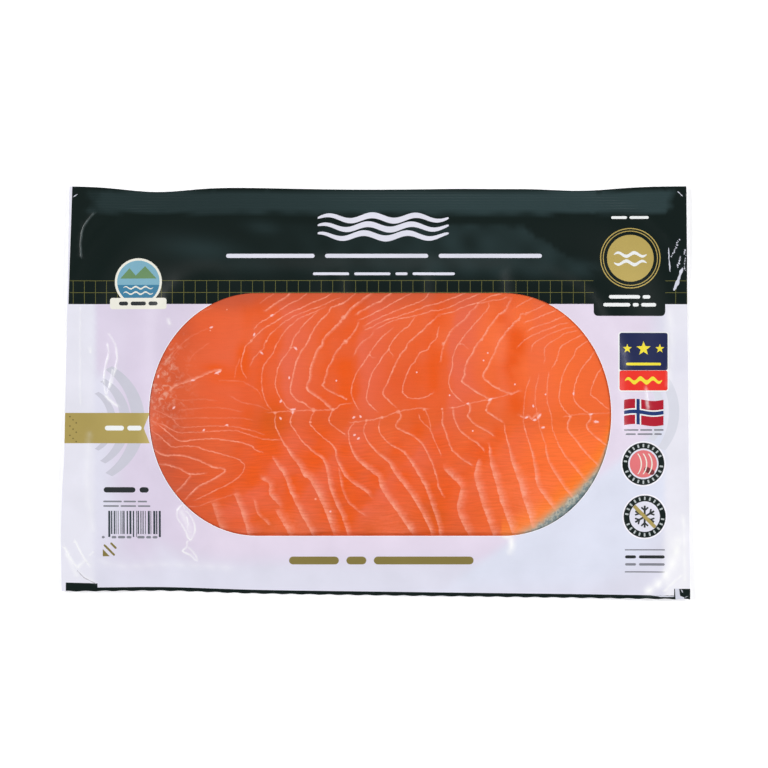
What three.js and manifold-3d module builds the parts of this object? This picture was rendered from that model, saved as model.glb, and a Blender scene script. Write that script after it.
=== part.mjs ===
// A flat vacuum pack of sliced smoked salmon, lying with its printed side up.
// Millimetres, +Z up, +X along the long side, +Y towards the top edge of the print.
import * as THREE from "three";
import { mergeVertices } from "three/addons/utils/BufferGeometryUtils.js";
import Module from "manifold-3d";

// The pack's outline
const packWidth = 302.4;
const packDepth = 198.8;
const topLeftInset = 3.8; // how far each corner stands in from the full width or depth
const topRightInset = 1.9;
const bottomLeftRise = 4.1;
const leftBow = 0.9;
const topDips = [
  { at: -111, reach: 17, depth: 2.2 },
  { at: 0, reach: 70, depth: 0.8 },
  { at: 98, reach: 22, depth: 1.9 },
];

// The two films
const filmThickness = 0.4;
const layerGap = 0.4; // left clear between layers that touch in the real pack
const borderLift = 1.1; // the borders curl up off the table by about this much
const borderStart = 12; // distance from the fish at which the curl begins
const borderReach = 14;

// The fish: five slices shingled from right to left, the left one on top
const fishBottom = -77.5;
const fishTop = 73.5;
const sliceThickness = 2.25;
const edgeThickness = 0.4; // the knife leaves each slice with a thin, feathered edge
const visibleTaper = 13;
const hiddenTaper = 42; // a slice thins out slowly where the next one covers it
const slack = 6.5; // the layers above still hang clear of a slice this far beyond its edge
const fringe = 6.5; // and settle over this distance
const slices = [
  { name: "slice_1", left: -124, right: -48, bottom: -56, leftRadius: 30, rightRadius: 44 },
  { name: "slice_2", left: -117, right: -12, lean: 7, swing: 40, leftRadius: 42, rightRadius: 16 },
  { name: "slice_3", left: -78, right: 32, lean: 3, swing: 54, leftRadius: 14, rightRadius: 16 },
  { name: "slice_4", left: -38, right: 70, lean: 3, swing: 47, leftRadius: 14, rightRadius: 16 },
  { name: "slice_5", left: 4, right: 130, heel: 1.9, leftRadius: 14, rightRadius: 62 },
];
const coveredLeft = ["slice_3", "slice_4", "slice_5"]; // their left sides lie under a neighbour

const { lerp, clamp, smoothstep } = THREE.MathUtils;
const bell = (x, at, reach) => Math.exp(-(((x - at) / reach) ** 2));

// A point of the pack's outline, for shares u and v of the way across and up.
function onPack(u, v) {
  const half = packWidth / 2;
  const left = lerp(-half, -half + topLeftInset, v) - leftBow * Math.sin(3 * Math.PI * v);
  const right = lerp(half, half - topRightInset, v);
  const x = lerp(left, right, u);
  const dip = topDips.reduce((sum, d) => sum + d.depth * bell(x, d.at, d.reach), 0);
  const bottom = lerp(-packDepth / 2 + bottomLeftRise, -packDepth / 2, u);
  const top = packDepth / 2 - dip * Math.sin(Math.PI * u) ** 0.25;
  return [x, lerp(bottom, top, v)];
}

const bottomOf = (slice) => slice.bottom ?? fishBottom;

// A slice's right side at height y, before its corners are rounded. The knife's edge leans right
// above the middle and swings left below it.
function freeEdge(slice, y) {
  const lean = (slice.lean ?? 0) * smoothstep(y, 12, 55);
  const swing = (slice.swing ?? 0) * clamp(-(y + 5) / 65, 0, 1);
  return slice.right + lean - swing;
}

// How far a point lies inside a slice's outline; negative outside.
function insideOf(slice, x, y) {
  const toEnd = Math.min(y - bottomOf(slice), fishTop - y);
  const fromSide = (toSide, radius) => {
    if (toSide > radius || toEnd > radius) return Math.min(toSide, toEnd);
    return radius - Math.hypot(radius - toSide, radius - toEnd);
  };
  const left = fromSide(x - slice.left, slice.leftRadius);
  const right = fromSide(freeEdge(slice, y) - x, slice.rightRadius);
  return Math.min(left, right);
}

function thicknessAt(slice, x, y) {
  const hidden = coveredLeft.includes(slice.name) ? (x - slice.left) / hiddenTaper : 1;
  const share = Math.min(insideOf(slice, x, y) / visibleTaper, hidden);
  const full = sliceThickness + (slice.heel ?? 0) * smoothstep(x, 45, 95);
  return lerp(edgeThickness, full, smoothstep(share, 0, 1));
}

// How much one slice raises whatever lies on it.
function riseOf(slice, x, y) {
  const settle = smoothstep(insideOf(slice, x, y), -slack - fringe, -slack);
  return (thicknessAt(slice, x, y) + layerGap) * settle;
}

function stackHeight(layers, x, y) {
  return layers.reduce((sum, slice) => sum + riseOf(slice, x, y), 0);
}

// Distance outside the whole stack's rounded outline.
function outsideFish(x, y) {
  const left = slices[0].left;
  const right = slices.at(-1).right;
  const radius = 40;
  const dx = Math.abs(x - (left + right) / 2) - (right - left) / 2 + radius;
  const dy = Math.abs(y - (fishBottom + fishTop) / 2) - (fishTop - fishBottom) / 2 + radius;
  const corner = Math.hypot(Math.max(dx, 0), Math.max(dy, 0));
  return corner + Math.min(Math.max(dx, dy), 0) - radius;
}

// The borders' curl: flat beside the fish, wavy and lifted at the cut edges.
function liftAt(x, y) {
  const share = clamp((outsideFish(x, y) - borderStart) / borderReach, 0, 1);
  const wave = 1 + 0.4 * Math.sin(x / 21 + 0.8) + 0.35 * Math.sin(y / 15 + x / 60);
  return borderLift * wave * share ** 2;
}

const backTop = (x, y) => liftAt(x, y) + filmThickness;
const fishBase = (x, y) => backTop(x, y) + layerGap;
const frontUnder = (x, y) => fishBase(x, y) + stackHeight(slices, x, y);

// Values from 0 to 1, with a given number of steps between each pair of stops.
function stations(stops, steps) {
  const values = [stops[0]];
  steps.forEach((count, i) => {
    for (let k = 1; k <= count; k++) values.push(lerp(stops[i], stops[i + 1], k / count));
  });
  return values;
}

// All layers are worked out on one grid of stations, so that they follow each other closely.
const acrossStops = [0, 0.05, 0.17, 0.83, 0.95, 1];
const upStops = [0, 0.06, 0.2, 0.78, 0.92, 1];
const across = stations(acrossStops, [2, 6, 20, 5, 2]);
const up = stations(upStops, [2, 5, 7, 5, 2]);

// A closed sheet over a grid of points, between two height functions.
function sheet(us, vs, under, over) {
  const width = us.length;
  const points = vs.flatMap((v) => us.map((u) => onPack(u, v)));
  const position = [
    ...points.flatMap(([x, y]) => [x, y, over(x, y)]),
    ...points.flatMap(([x, y]) => [x, y, under(x, y)]),
  ];
  const index = [];
  const below = points.length;
  for (let row = 0; row < vs.length - 1; row++) {
    for (let column = 0; column < width - 1; column++) {
      const a = row * width + column;
      const [b, c, d] = [a + 1, a + width + 1, a + width];
      index.push(a, b, c, a, c, d);
      index.push(below + a, below + c, below + b, below + a, below + d, below + c);
    }
  }
  const last = (vs.length - 1) * width;
  const rim = [];
  for (let k = 0; k < width; k++) rim.push(k);
  for (let k = 1; k < vs.length; k++) rim.push(k * width + width - 1);
  for (let k = 1; k < width; k++) rim.push(last + width - 1 - k);
  for (let k = 1; k < vs.length; k++) rim.push(last - k * width);
  for (let k = 0; k < rim.length - 1; k++) {
    const [a, b] = [rim[k], rim[k + 1]];
    index.push(below + a, below + b, b, below + a, b, a);
  }
  const geometry = new THREE.BufferGeometry();
  geometry.setAttribute("position", new THREE.Float32BufferAttribute(position, 3));
  geometry.setIndex(index);
  return geometry;
}

const wasm = await Module();
wasm.setup();

function solidOf(geometry) {
  const bare = geometry.clone();
  bare.deleteAttribute("normal");
  bare.deleteAttribute("uv");
  const merged = mergeVertices(bare, 1e-4);
  const vertProperties = merged.attributes.position.array;
  const triVerts = new Uint32Array(merged.index.array);
  return new wasm.Manifold(new wasm.Mesh({ numProp: 3, vertProperties, triVerts }));
}

function geometryOf(solid) {
  const mesh = solid.getMesh();
  const geometry = new THREE.BufferGeometry();
  geometry.setAttribute("position", new THREE.BufferAttribute(mesh.vertProperties, 3));
  geometry.setIndex(new THREE.BufferAttribute(mesh.triVerts, 1));
  return geometry;
}

function named(name, geometry, color, roughness) {
  geometry.computeVertexNormals();
  const material = new THREE.MeshStandardMaterial({ color, roughness, metalness: 0 });
  const mesh = new THREE.Mesh(geometry, material);
  mesh.name = name;
  return mesh;
}

function backFilm() {
  const us = stations(acrossStops, [2, 6, 10, 5, 2]);
  const vs = stations(upStops, [2, 5, 4, 5, 2]);
  return named("back_film", sheet(us, vs, liftAt, backTop), "#e4e2ee", 0.35);
}

function frontFilm() {
  const over = (x, y) => frontUnder(x, y) + filmThickness;
  return named("front_film", sheet(across, up, frontUnder, over), "#ded6e8", 0.25);
}

// A slice's outline as an upright prism.
function outlinePrism(slice) {
  const rows = stations([0, 0.18, 0.82, 1], [6, 6, 6]);
  const sides = rows.map((row) => {
    const y = lerp(bottomOf(slice), fishTop, row);
    const toEnd = Math.min(y - bottomOf(slice), fishTop - y);
    const inset = (radius) => {
      const short = Math.max(radius - toEnd, 0);
      return radius - Math.sqrt(radius ** 2 - short ** 2);
    };
    const left = slice.left + inset(slice.leftRadius);
    const right = freeEdge(slice, y) - inset(slice.rightRadius);
    return { y, left, right };
  });
  const rightSide = sides.map(({ y, right }) => new THREE.Vector2(right, y));
  const leftSide = sides.map(({ y, left }) => new THREE.Vector2(left, y)).reverse();
  const shape = new THREE.Shape([...rightSide, ...leftSide]);
  const prism = new THREE.ExtrudeGeometry(shape, { depth: 30, bevelEnabled: false });
  return prism.translate(0, 0, -5);
}

function salmonSlice(slice) {
  const beneath = slices.slice(slices.indexOf(slice) + 1);
  const under = (x, y) => fishBase(x, y) + stackHeight(beneath, x, y);
  const over = (x, y) => under(x, y) + thicknessAt(slice, x, y);
  const blank = solidOf(sheet(across, up, under, over));
  const cut = blank.intersect(solidOf(outlinePrism(slice)));
  return named(slice.name, geometryOf(cut), "#ec6a3c", 0.4);
}

const pack = new THREE.Group();
pack.add(backFilm(), ...slices.map(salmonSlice), frontFilm());

// The origin is the middle of the underside.
const extent = new THREE.Box3().setFromObject(pack);
const middle = extent.getCenter(new THREE.Vector3());
pack.position.set(-middle.x, -middle.y, -extent.min.z);

export default pack;
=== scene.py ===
import math
import random

import bpy
import numpy as np
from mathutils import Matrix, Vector
from mathutils.geometry import delaunay_2d_cdt


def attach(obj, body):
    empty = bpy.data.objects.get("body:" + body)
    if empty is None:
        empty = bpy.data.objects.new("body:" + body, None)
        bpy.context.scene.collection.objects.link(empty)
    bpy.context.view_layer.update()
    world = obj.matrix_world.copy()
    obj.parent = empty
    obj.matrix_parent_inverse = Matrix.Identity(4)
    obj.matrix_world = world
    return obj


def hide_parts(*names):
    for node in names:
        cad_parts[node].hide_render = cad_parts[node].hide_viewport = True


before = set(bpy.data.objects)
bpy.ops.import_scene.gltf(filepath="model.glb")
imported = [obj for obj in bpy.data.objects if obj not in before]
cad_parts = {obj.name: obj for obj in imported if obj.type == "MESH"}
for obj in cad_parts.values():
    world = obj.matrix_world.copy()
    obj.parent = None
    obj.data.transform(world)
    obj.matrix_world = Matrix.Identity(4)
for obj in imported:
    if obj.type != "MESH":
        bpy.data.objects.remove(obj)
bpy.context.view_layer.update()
random.seed(11)
np.random.seed(11)
print("frame loaded")

mm = 0.001  # every size below is in millimetres, and a mesh is in metres


# Small tools

def smooth(value, low, high):
    share = np.clip((value - low) / (high - low), 0, 1)
    return share * share * (3 - 2 * share)


def mix(start, end, share):
    return start + (end - start) * share


def bell(value, centre, reach):
    return np.exp(-((value - centre) / reach) ** 2)


def spot(x, y, centreX, centreY, reachX, reachY):
    # a soft oval spot, 1 at its centre
    return bell(np.hypot((x - centreX) / reachX, (y - centreY) / reachY), 0, 1)


def patches(x, y, scale, seed):
    # soft random patches from a few crossed waves
    chance = random.Random(seed)
    waves = 6
    total = np.zeros(np.shape(x))
    for _ in range(waves):
        turn = chance.uniform(0, 2 * math.pi)
        pitch = chance.uniform(0.6, 1.6) / scale
        along = x * math.cos(turn) + y * math.sin(turn)
        total += np.sin(2 * math.pi * pitch * along + chance.uniform(0, 6))
    return total / waves


def shaken(value, reach):
    return value + random.uniform(-reach, reach)


def pathDistance(x, y, path):
    nearest = np.full(np.shape(x), 1e6)
    for (ax, ay), (bx, by) in zip(path, path[1:]):
        dx, dy = bx - ax, by - ay
        share = np.clip(((x - ax) * dx + (y - ay) * dy) / (dx * dx + dy * dy), 0, 1)
        nearest = np.minimum(nearest, np.hypot(x - ax - share * dx, y - ay - share * dy))
    return nearest


def onCurve(before, start, finish, after, t):
    # a Catmull-Rom curve from start to finish
    linear = (finish - before) * t
    square = (2 * before - 5 * start + 4 * finish - after) * t * t
    cube = (3 * start - before - 3 * finish + after) * t ** 3
    return 0.5 * (2 * start + linear + square + cube)


def roundPath(path, step, ragged):
    # the same path, curved through its points and slightly ragged
    ends = [path[0]] + path + [path[-1]]
    points = []
    for a, b, c, d in zip(ends, ends[1:], ends[2:], ends[3:]):
        parts = max(1, round(math.hypot(c[0] - b[0], c[1] - b[1]) / step))
        for k in range(parts):
            points.append([onCurve(*values, k / parts) for values in zip(a, b, c, d)])
    points.append(list(path[-1]))
    return np.array([[shaken(x, ragged), shaken(y, ragged)] for x, y in points])


def beside(points, offset):
    # a row of points to the left of another, at an offset that may change along it
    along = np.gradient(points, axis=0)
    length = np.hypot(along[:, 0], along[:, 1])[:, None]
    across = np.stack((-along[:, 1], along[:, 0]), 1) / length
    return points + across * np.reshape(offset, (-1, 1))


def toLinear(hexColour):
    channels = [int(hexColour[i:i + 2], 16) / 255 for i in (1, 3, 5)]
    linear = [c / 12.92 if c <= 0.04045 else ((c + 0.055) / 1.055) ** 2.4 for c in channels]
    return (*linear, 1.0)


def addNode(tree, kind, settings=None, links=None):
    made = tree.nodes.new("ShaderNode" + kind)
    for name, value in (settings or {}).items():
        setattr(made, name, value)
    for name, value in (links or {}).items():
        if isinstance(value, bpy.types.NodeSocket):
            tree.links.new(value, made.inputs[name])
        else:
            made.inputs[name].default_value = value
    return made


def newMaterial(name):
    material = bpy.data.materials.new(name)
    material.use_nodes = True
    tree = material.node_tree
    return material, tree, tree.nodes["Principled BSDF"]


def deselectAll():
    bpy.ops.object.select_all(action="DESELECT")


def readPoints(mesh):
    flat = np.empty(len(mesh.vertices) * 3)
    mesh.vertices.foreach_get("co", flat)
    return flat.reshape(-1, 3)


def writePoints(mesh, points):
    mesh.vertices.foreach_set("co", np.ascontiguousarray(points).ravel())
    mesh.update()


def writeField(mesh, name, values):
    field = mesh.attributes.new(name, "FLOAT", "POINT")
    field.data.foreach_set("value", np.ascontiguousarray(values, dtype=np.float32))


def pick(piece):
    deselectAll()
    bpy.context.view_layer.objects.active = piece
    piece.select_set(True)


def finishPiece(piece, replaced):
    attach(piece, "root")
    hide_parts(replaced)


# The pack's outline and the heights of its layers, close to those of the solids

pack = {
    "width": 302.4,
    "depth": 198.8,
    "topLeftInset": 3.8,  # how far each corner stands in
    "topRightInset": 1.9,
    "bottomLeftRise": 3.8,
    "leftBow": 0.9,
    "shift": 0.1791,  # brings the middle of the outline onto the origin
    "topDips": [(-107, 22, 3.2), (0, 70, 1.6), (62, 18, 0.5), (100, 23, 2.3)],  # place, reach, depth
    "bottomRise": (-103, 32, 0.9),
    "lift": 1.1,  # the borders curl up by about this much
    "liftStart": 12,
    "liftReach": 14,
}
fish = {
    "bottom": -77.5,
    "top": 73.5,
    "thickness": 2.25,
    "heelStart": 45,  # the last slice thickens from here
    "heelEnd": 95,
    "edge": 0.4,
    "taper": 13,
    "hiddenTaper": 42,
    "gap": 0.4,
    "settle": 17,  # a visible edge presses down onto what it lies on over this distance
    "corner": 40,  # radius of the whole stack's corners
    "lean": (12, 55),  # a free edge leans right between these heights
    "swingStart": -5,  # and swings left below this one
    "swingReach": 65,
    "swingEase": 0.14,
    "waver": [(0.8, 5.3, 1), (0.5, 2.6, 2), (0.3, 1.2, 1)],  # width, length, phase by the slice's place
}
slices = [
    {
        "node": "slice_1", "left": -124, "right": -48, "bottom": -56, "lean": 0, "swing": 0, "heel": 0,
        "radii": (30, 44), "wedge": False,
    },
    {
        "node": "slice_2", "left": -117, "right": -12, "bottom": -77.5, "lean": 7, "swing": 40, "heel": 0,
        "radii": (42, 16), "wedge": False,
    },
    {
        "node": "slice_3", "left": -78, "right": 32, "bottom": -77.5, "lean": 3, "swing": 54, "heel": 0,
        "radii": (14, 16), "wedge": True,
    },
    {
        "node": "slice_4", "left": -38, "right": 70, "bottom": -77.5, "lean": 3, "swing": 47, "heel": 0,
        "radii": (14, 16), "wedge": True,
    },
    {
        "node": "slice_5", "left": 4, "right": 130, "bottom": -77.5, "lean": 0, "swing": 0, "heel": 1.9,
        "radii": (14, 62), "wedge": True,
    },
]


def onPack(across, up):
    half = pack["width"] / 2
    lowerThird = np.minimum(up, 1 / 3)
    bow = pack["leftBow"] * np.sin(3 * math.pi * lowerThird)
    left = mix(-half, -half + pack["topLeftInset"], up) - bow
    right = mix(half, half - pack["topRightInset"], up)
    x = mix(left, right, across)
    dip = sum(depth * bell(x, place, reach) for place, reach, depth in pack["topDips"])
    place, reach, rise = pack["bottomRise"]
    bottom = mix(-pack["depth"] / 2 + pack["bottomLeftRise"], -pack["depth"] / 2, across)
    bottom = bottom + rise * bell(x, place, reach)
    top = pack["depth"] / 2 - dip * np.maximum(np.sin(math.pi * across), 0) ** 0.25
    return x, mix(bottom, top, up)


def freeEdge(piece, y):
    # the knife's edge: leans right above the middle, swings left below it, never quite straight
    lean = piece["lean"] * smooth(y, *fish["lean"])
    down = np.clip(-(y - fish["swingStart"]) / fish["swingReach"], 0, 1)
    ease = fish["swingEase"]
    eased = np.where(down < ease, down ** 2 / (2 * ease), down - ease / 2) / (1 - ease / 2)
    place = piece["right"]
    waver = sum(width * np.sin(y / length + turn * place) for width, length, turn in fish["waver"])
    return place + lean - piece["swing"] * eased + waver


def insideSlice(piece, x, y):
    toEnd = np.minimum(y - piece["bottom"], fish["top"] - y)
    inside = np.full(np.shape(x), 1e6)
    for toSide, radius in zip((x - piece["left"], freeEdge(piece, y) - x), piece["radii"]):
        square = np.minimum(toSide, toEnd)
        corner = radius - np.hypot(radius - toSide, radius - toEnd)
        inCorner = (toSide < radius) & (toEnd < radius)
        inside = np.minimum(inside, np.where(inCorner, corner, square))
    return inside


def sliceThickness(piece, x, y):
    share = insideSlice(piece, x, y) / fish["taper"]
    if piece["wedge"]:
        share = np.minimum(share, (x - piece["left"]) / fish["hiddenTaper"])
    full = fish["thickness"] + piece["heel"] * smooth(x, fish["heelStart"], fish["heelEnd"])
    return mix(fish["edge"], full, smooth(share, 0, 1))


def sliceRise(piece, x, y):
    # a slice and the gap over it, pressed down to nothing at its edge
    pressed = smooth(insideSlice(piece, x, y), 0, fish["settle"])
    return (sliceThickness(piece, x, y) + fish["gap"]) * pressed


def fishHeight(layers, x, y):
    return sum((sliceRise(piece, x, y) for piece in layers), np.zeros(np.shape(x)))


def outsideFish(x, y):
    left, right, radius = slices[0]["left"], slices[-1]["right"], fish["corner"]
    dx = np.abs(x - (left + right) / 2) - (right - left) / 2 + radius
    dy = np.abs(y - (fish["bottom"] + fish["top"]) / 2) - (fish["top"] - fish["bottom"]) / 2 + radius
    return np.hypot(np.maximum(dx, 0), np.maximum(dy, 0)) + np.minimum(np.maximum(dx, dy), 0) - radius


def borderLift(x, y):
    share = np.clip((outsideFish(x, y) - pack["liftStart"]) / pack["liftReach"], 0, 1)
    wave = 1 + 0.4 * np.sin(x / 21 + 0.8) + 0.35 * np.sin(y / 15 + x / 60)
    return pack["lift"] * wave * share ** 2


def inMetres(x, y, z):
    return np.stack((x + pack["shift"], y, z), 1) * mm


# Studio: white floor, three soft boxes, a dark ceiling and a bright horizon

studio = {
    "frameWidth": 368.6,  # the photograph's width at the pack
    "frameCentre": (4.08, 4.3),
    "cameraHeight": 1900,
    "printHeight": 6,  # the frame's width is measured at this height
    "farthest": 20000,
    "sensor": 36,
    "floor": 6000,
    "boxes": [  # place, size, watts
        ((-1500, 500, 1150), (900, 700), 22.5),
        ((1550, 300, 1150), (900, 700), 21),
        ((0, -1500, 1000), (1200, 500), 9.5),
    ],
    "sky": [(0.0, "#ffffff"), (0.6, "#ffffff"), (0.86, "#a9adb0"), (0.97, "#3a3f42"), (1.0, "#101214")],
    "skyStrength": 0.36,
    "floorGlow": 0.16,  # keeps the floor white round the pack
    "floorRoughness": 0.9,
}


def makeStudio():
    bpy.context.scene.view_settings.view_transform = "Standard"
    cameraData = bpy.data.cameras.new("camera")
    camera = bpy.data.objects.new("camera", cameraData)
    bpy.context.scene.collection.objects.link(camera)
    cx, cy = studio["frameCentre"]
    camera.location = (cx * mm, cy * mm, studio["cameraHeight"] * mm)
    cameraData.sensor_width = studio["sensor"]
    distance = studio["cameraHeight"] - studio["printHeight"]
    cameraData.lens = studio["sensor"] * distance / studio["frameWidth"]
    cameraData.clip_end = studio["farthest"] * mm
    bpy.context.scene.camera = camera

    for number, (place, size, watts) in enumerate(studio["boxes"], 1):
        light = bpy.data.lights.new(f"soft box {number}", "AREA")
        light.shape = "RECTANGLE"
        light.size, light.size_y = size[0] * mm, size[1] * mm
        light.energy = watts
        lamp = bpy.data.objects.new(f"soft box {number}", light)
        lamp.location = Vector(place) * mm
        lamp.rotation_euler = (-lamp.location).to_track_quat("-Z", "Y").to_euler()
        bpy.context.scene.collection.objects.link(lamp)

    world = bpy.data.worlds.new("studio")
    bpy.context.scene.world = world
    world.use_nodes = True
    tree = world.node_tree
    place = addNode(tree, "TexCoord")
    direction = addNode(tree, "SeparateXYZ", links={"Vector": place.outputs["Generated"]})
    ramp = addNode(tree, "ValToRGB", links={"Fac": direction.outputs["Z"]})
    stops = ramp.color_ramp.elements
    for number, (height, colour) in enumerate(studio["sky"]):  # dark only right overhead
        stop = stops[number] if number < 2 else stops.new(height)
        stop.position = height
        stop.color = toLinear(colour)
    tree.links.new(ramp.outputs["Color"], tree.nodes["Background"].inputs["Color"])
    tree.nodes["Background"].inputs["Strength"].default_value = studio["skyStrength"]

    deselectAll()
    bpy.ops.mesh.primitive_plane_add(size=studio["floor"] * mm, location=(0, 0, 0))
    floor = bpy.context.object
    floor.name = "floor"
    # matt white paint with a faint glow, so that no shadow of the studio greys it
    paint, tree, shader = newMaterial("matt white studio paint")
    shader.inputs["Base Color"].default_value = toLinear("#ffffff")
    shader.inputs["Roughness"].default_value = studio["floorRoughness"]
    shader.inputs["Emission Color"].default_value = toLinear("#ffffff")
    shader.inputs["Emission Strength"].default_value = studio["floorGlow"]
    floor.data.materials.append(paint)


makeStudio()
print("studio made")


# Films: printed front, clear window and pale back

film = {
    "contact": 0.3,  # the front film lies this far above what it covers
    "back": 0.38,  # top of the back film over the table
    "grid": 2.2,  # spacing of the mesh's inner points
    "clear": 0.9,  # none of them stands nearer than this to a printed edge
    "innerAcross": (0.003, 0.997),  # or outside these shares of the pack's width and depth
    "innerUp": (0.004, 0.996),
    "outlineStep": 1.4,
    "printStep": 1.6,
    "scallop": (9.0, 0.35),  # the bottom edge is cut slightly wavy: pitch and depth
    "skirt": (2.5, 3.4),  # height of the bridge from the fish down to the border: left, right
    "skirtRise": (70, 110),
    "skirtIn": -14,
    "skirtOut": 16,
    "creaseStep": 1.0,
    "creaseRagged": 0.12,
    "skinLine": (62, -73, 54, 40),  # the fish's skin lies right of this line: place and direction
}

# raised creases and blisters in the film: path, height, half width, whiteness (partly stress whitening,
# partly a painted highlight)
creases = [
    ([(-95.4, -56.4), (-92.9, -53.9), (-91.2, -56.8), (-88.5, -59.8), (-87, -64.2), (-87.5, -68.1),
      (-89.5, -70.6), (-91.4, -66.6), (-93.9, -62.2), (-95.4, -59.8), (-95.4, -56.4)], 0.3, 0.38, 0.9),
    ([(-91, -59.5), (-90.2, -63), (-90.6, -65.7), (-89.2, -67)], 0.2, 0.4, 0.8),
    ([(-93.4, -57.2), (-91.6, -61.6), (-89.8, -66), (-89, -69)], 0.1, 1.6, 0.4),
    ([(-90.8, -71.5), (-90.9, -74), (-92.9, -75.9), (-89.5, -77.9), (-86, -80.8), (-86.7, -78.2),
      (-90, -74.5)], 0.25, 0.4, 0.9),
    ([(-128.5, 28.4), (-126, 24.5), (-124.7, 20.6), (-124.5, 15.5), (-125.3, 11.2), (-126.8, 6.1),
      (-128.3, 2.2), (-129.8, -0.4), (-130.7, 3.5), (-130.7, 8.2), (-129.8, 13.8), (-128.5, 18.9),
      (-129.2, 23.2)], 0.3, 0.4, 0.75),
    ([(-129.8, -1.6), (-127.7, -3.8), (-124.2, -6.4)], 0.25, 0.6, 0.8),
    ([(-126.6, 11), (-127.6, 6), (-129, 1)], 0.2, 0.4, 0.7),
    ([(-99.4, 34.8), (-99.0, 33.2)], 0.25, 0.7, 0.9),
    ([(-137.6, 20.9), (-137.4, 19.6)], 0.2, 0.5, 0.9),
    ([(62, -68.5), (64.6, -69.2), (65.2, -72), (64.5, -76)], 0.3, 1.5, 0.95),
    ([(129.6, 1.5), (130.6, -7.5)], 0.3, 0.6, 0.6),
    ([(-144.3, -72), (-141.5, -77.5), (-138.2, -82.6)], 0.35, 0.4, 0.9),
    ([(-149.7, -74.5), (-147, -79.5), (-144.3, -83.3)], 0.4, 0.5, 0.9),
    ([(-148.7, -77.9), (-146.4, -82.5), (-143.8, -87.7)], 0.4, 0.9, 0.7),
    ([(-143.3, -83.8), (-140, -80.6)], 0.3, 0.8, 0.7),
    ([(-137.7, -78.2), (-135.8, -76.4)], 0.25, 0.35, 0.8),
    ([(-142.9, -86.2), (-139.5, -89), (-134.5, -91.3)], 0.4, 0.9, 0.3),
    ([(130.5, -95.7), (136.7, -91), (141.5, -84), (144.4, -77), (145, -71)], 0.4, 2.0, 1.0),
    ([(148, -60), (148.2, -75), (148.6, -90)], 0.2, 0.8, 0.6),
    ([(139, -95), (146.5, -88)], 0.3, 0.5, 0.8),
    ([(-141.8, 65.6), (-141.8, 73.2), (-141, 78.4), (-138.8, 82.7), (-135.8, 86.1)], 0.25, 0.35, 0.6),
    ([(-142.2, 41), (-142.4, 20), (-142.1, -5)], 0.2, 0.4, 0.35),
    ([(141, 40), (142.4, 25), (141, 4)], 0.3, 1.2, 0.3),
    ([(-138, -20), (-139, -45), (-136, -66)], 0.25, 1.3, 0.2),
    ([(-132, -81), (-120, -83.5), (-100, -82.5), (-70, -84)], 0.3, 1.6, 0.2),
    ([(64, -82), (92, -83), (122, -84.5)], -0.2, 0.9, 0),
]
creaseRows = [
    (roundPath(path, film["creaseStep"], film["creaseRagged"]), rise, reach, white)
    for path, rise, reach, white in creases
]

# the crimped seal: its ribs begin and end between these places
topSeal = {
    "low": (85.6, 87.4),
    "high": (96.4, 97.8),
    "left": (-139, -133),
    "right": (139.5, 143.5),
    "rightLean": 0.25,
    "ribPitch": 1.3,
}
window = {
    "left": -109,
    "right": 113,
    "low": -68.7,
    "high": 48,
    "leftReach": 52,
    "rightReach": 51.5,
    "rim": 0.35,
}
# the dark band across the top; a row of bars has ink, left, right, height, thickness, lengths, gap
band = {
    "low": 42.7,
    "leftTop": -145.9,
    "leftLow": -147.9,
    "beyond": 5,  # the field runs past the pack's outline and is cut along it
    "gridStart": -145.6,
    "gridLeft": -147.4,
    "gridTight": -98,  # left of here the film is drawn together a little
    "gridPitch": (5.32, 5.5),
    "gridLevels": (53.95, 48.25),
    "gridLine": 0.23,
    "tab": (121.9, 67.8, 34.7, 61.6, 2.0),  # place, width, height, corner
    "tabRows": [
        ("white", 113.2, 131.2, 84.4, 1.3, (5, 6), 1.2),
        ("white", 112.0, 132.0, 46.2, 1.7, (8, 2), 1.2),
        ("white", 109.2, 134.8, 42.4, 1.7, (9, 2, 5), 1.2),
    ],
    "waves": [(84.2, 0.0), (79.9, 0.6), (75.6, 1.2)],  # height, phase
    "rules": [
        ("lilacWhite", -72.0, 79.8, 65.9, 2.0, (6, 7, 7), 5.0),
        ("lilacWhite", -30.2, 37.9, 57.2, 1.3, (6, 6, 2, 7), 2.4),
    ],
    "scuffs": [  # path, width
        ([(140.9, 69.9), (141.1, 64.0), (141.6, 58.4)], 0.7),
        ([(147.6, 60.2), (146.4, 57), (145.2, 53.4), (143.3, 49.2)], 2.2),
        ([(144.9, 97.0), (147.7, 94.5)], 0.6),
        ([(-145.5, 94.3), (-143.5, 95.6)], 0.6),
    ],
    "wornDots": [  # start, end, count
        ((145.5, 73.6), (142.4, 65.5), 20),
        ((148.6, 68.5), (148.9, 58), 12),
        ((146.5, 65.8), (145.1, 60.1), 16),
    ],
    "sheenX": (30, 69, 81, 93, 108),  # upper edge of the broad sheen
    "sheenY": (82, 81.5, 74.5, 66, 58),
    "sheenLeft": (-75, 50),  # it fades in and out between these places
    "sheenRight": (102, 110),
    "sheenFoot": (52, 60),
    "sheenShare": 0.55,
    "sheenSpots": [  # place, reaches, share
        (-84, 69, 19, 5.5, 0.5), (-54, 79.5, 8, 3, 0.4), (-62, 62, 16, 5, 0.25),
        (97, 61.5, 11, 2.6, 0.5),
    ],
}


def filmHeight(x, y):
    fishTop = fishHeight(slices, x, y)
    skirt = mix(*film["skirt"], smooth(x, *film["skirtRise"]))
    skirt = skirt * (1 - smooth(outsideFish(x, y), film["skirtIn"], film["skirtOut"]))
    draped = (fishTop ** 4 + skirt ** 4) ** 0.25
    height = borderLift(x, y) + film["back"] + film["contact"] + draped
    for path, rise, reach, _ in creaseRows:
        height = height + rise * bell(pathDistance(x, y, path), 0, reach)
    return height


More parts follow.
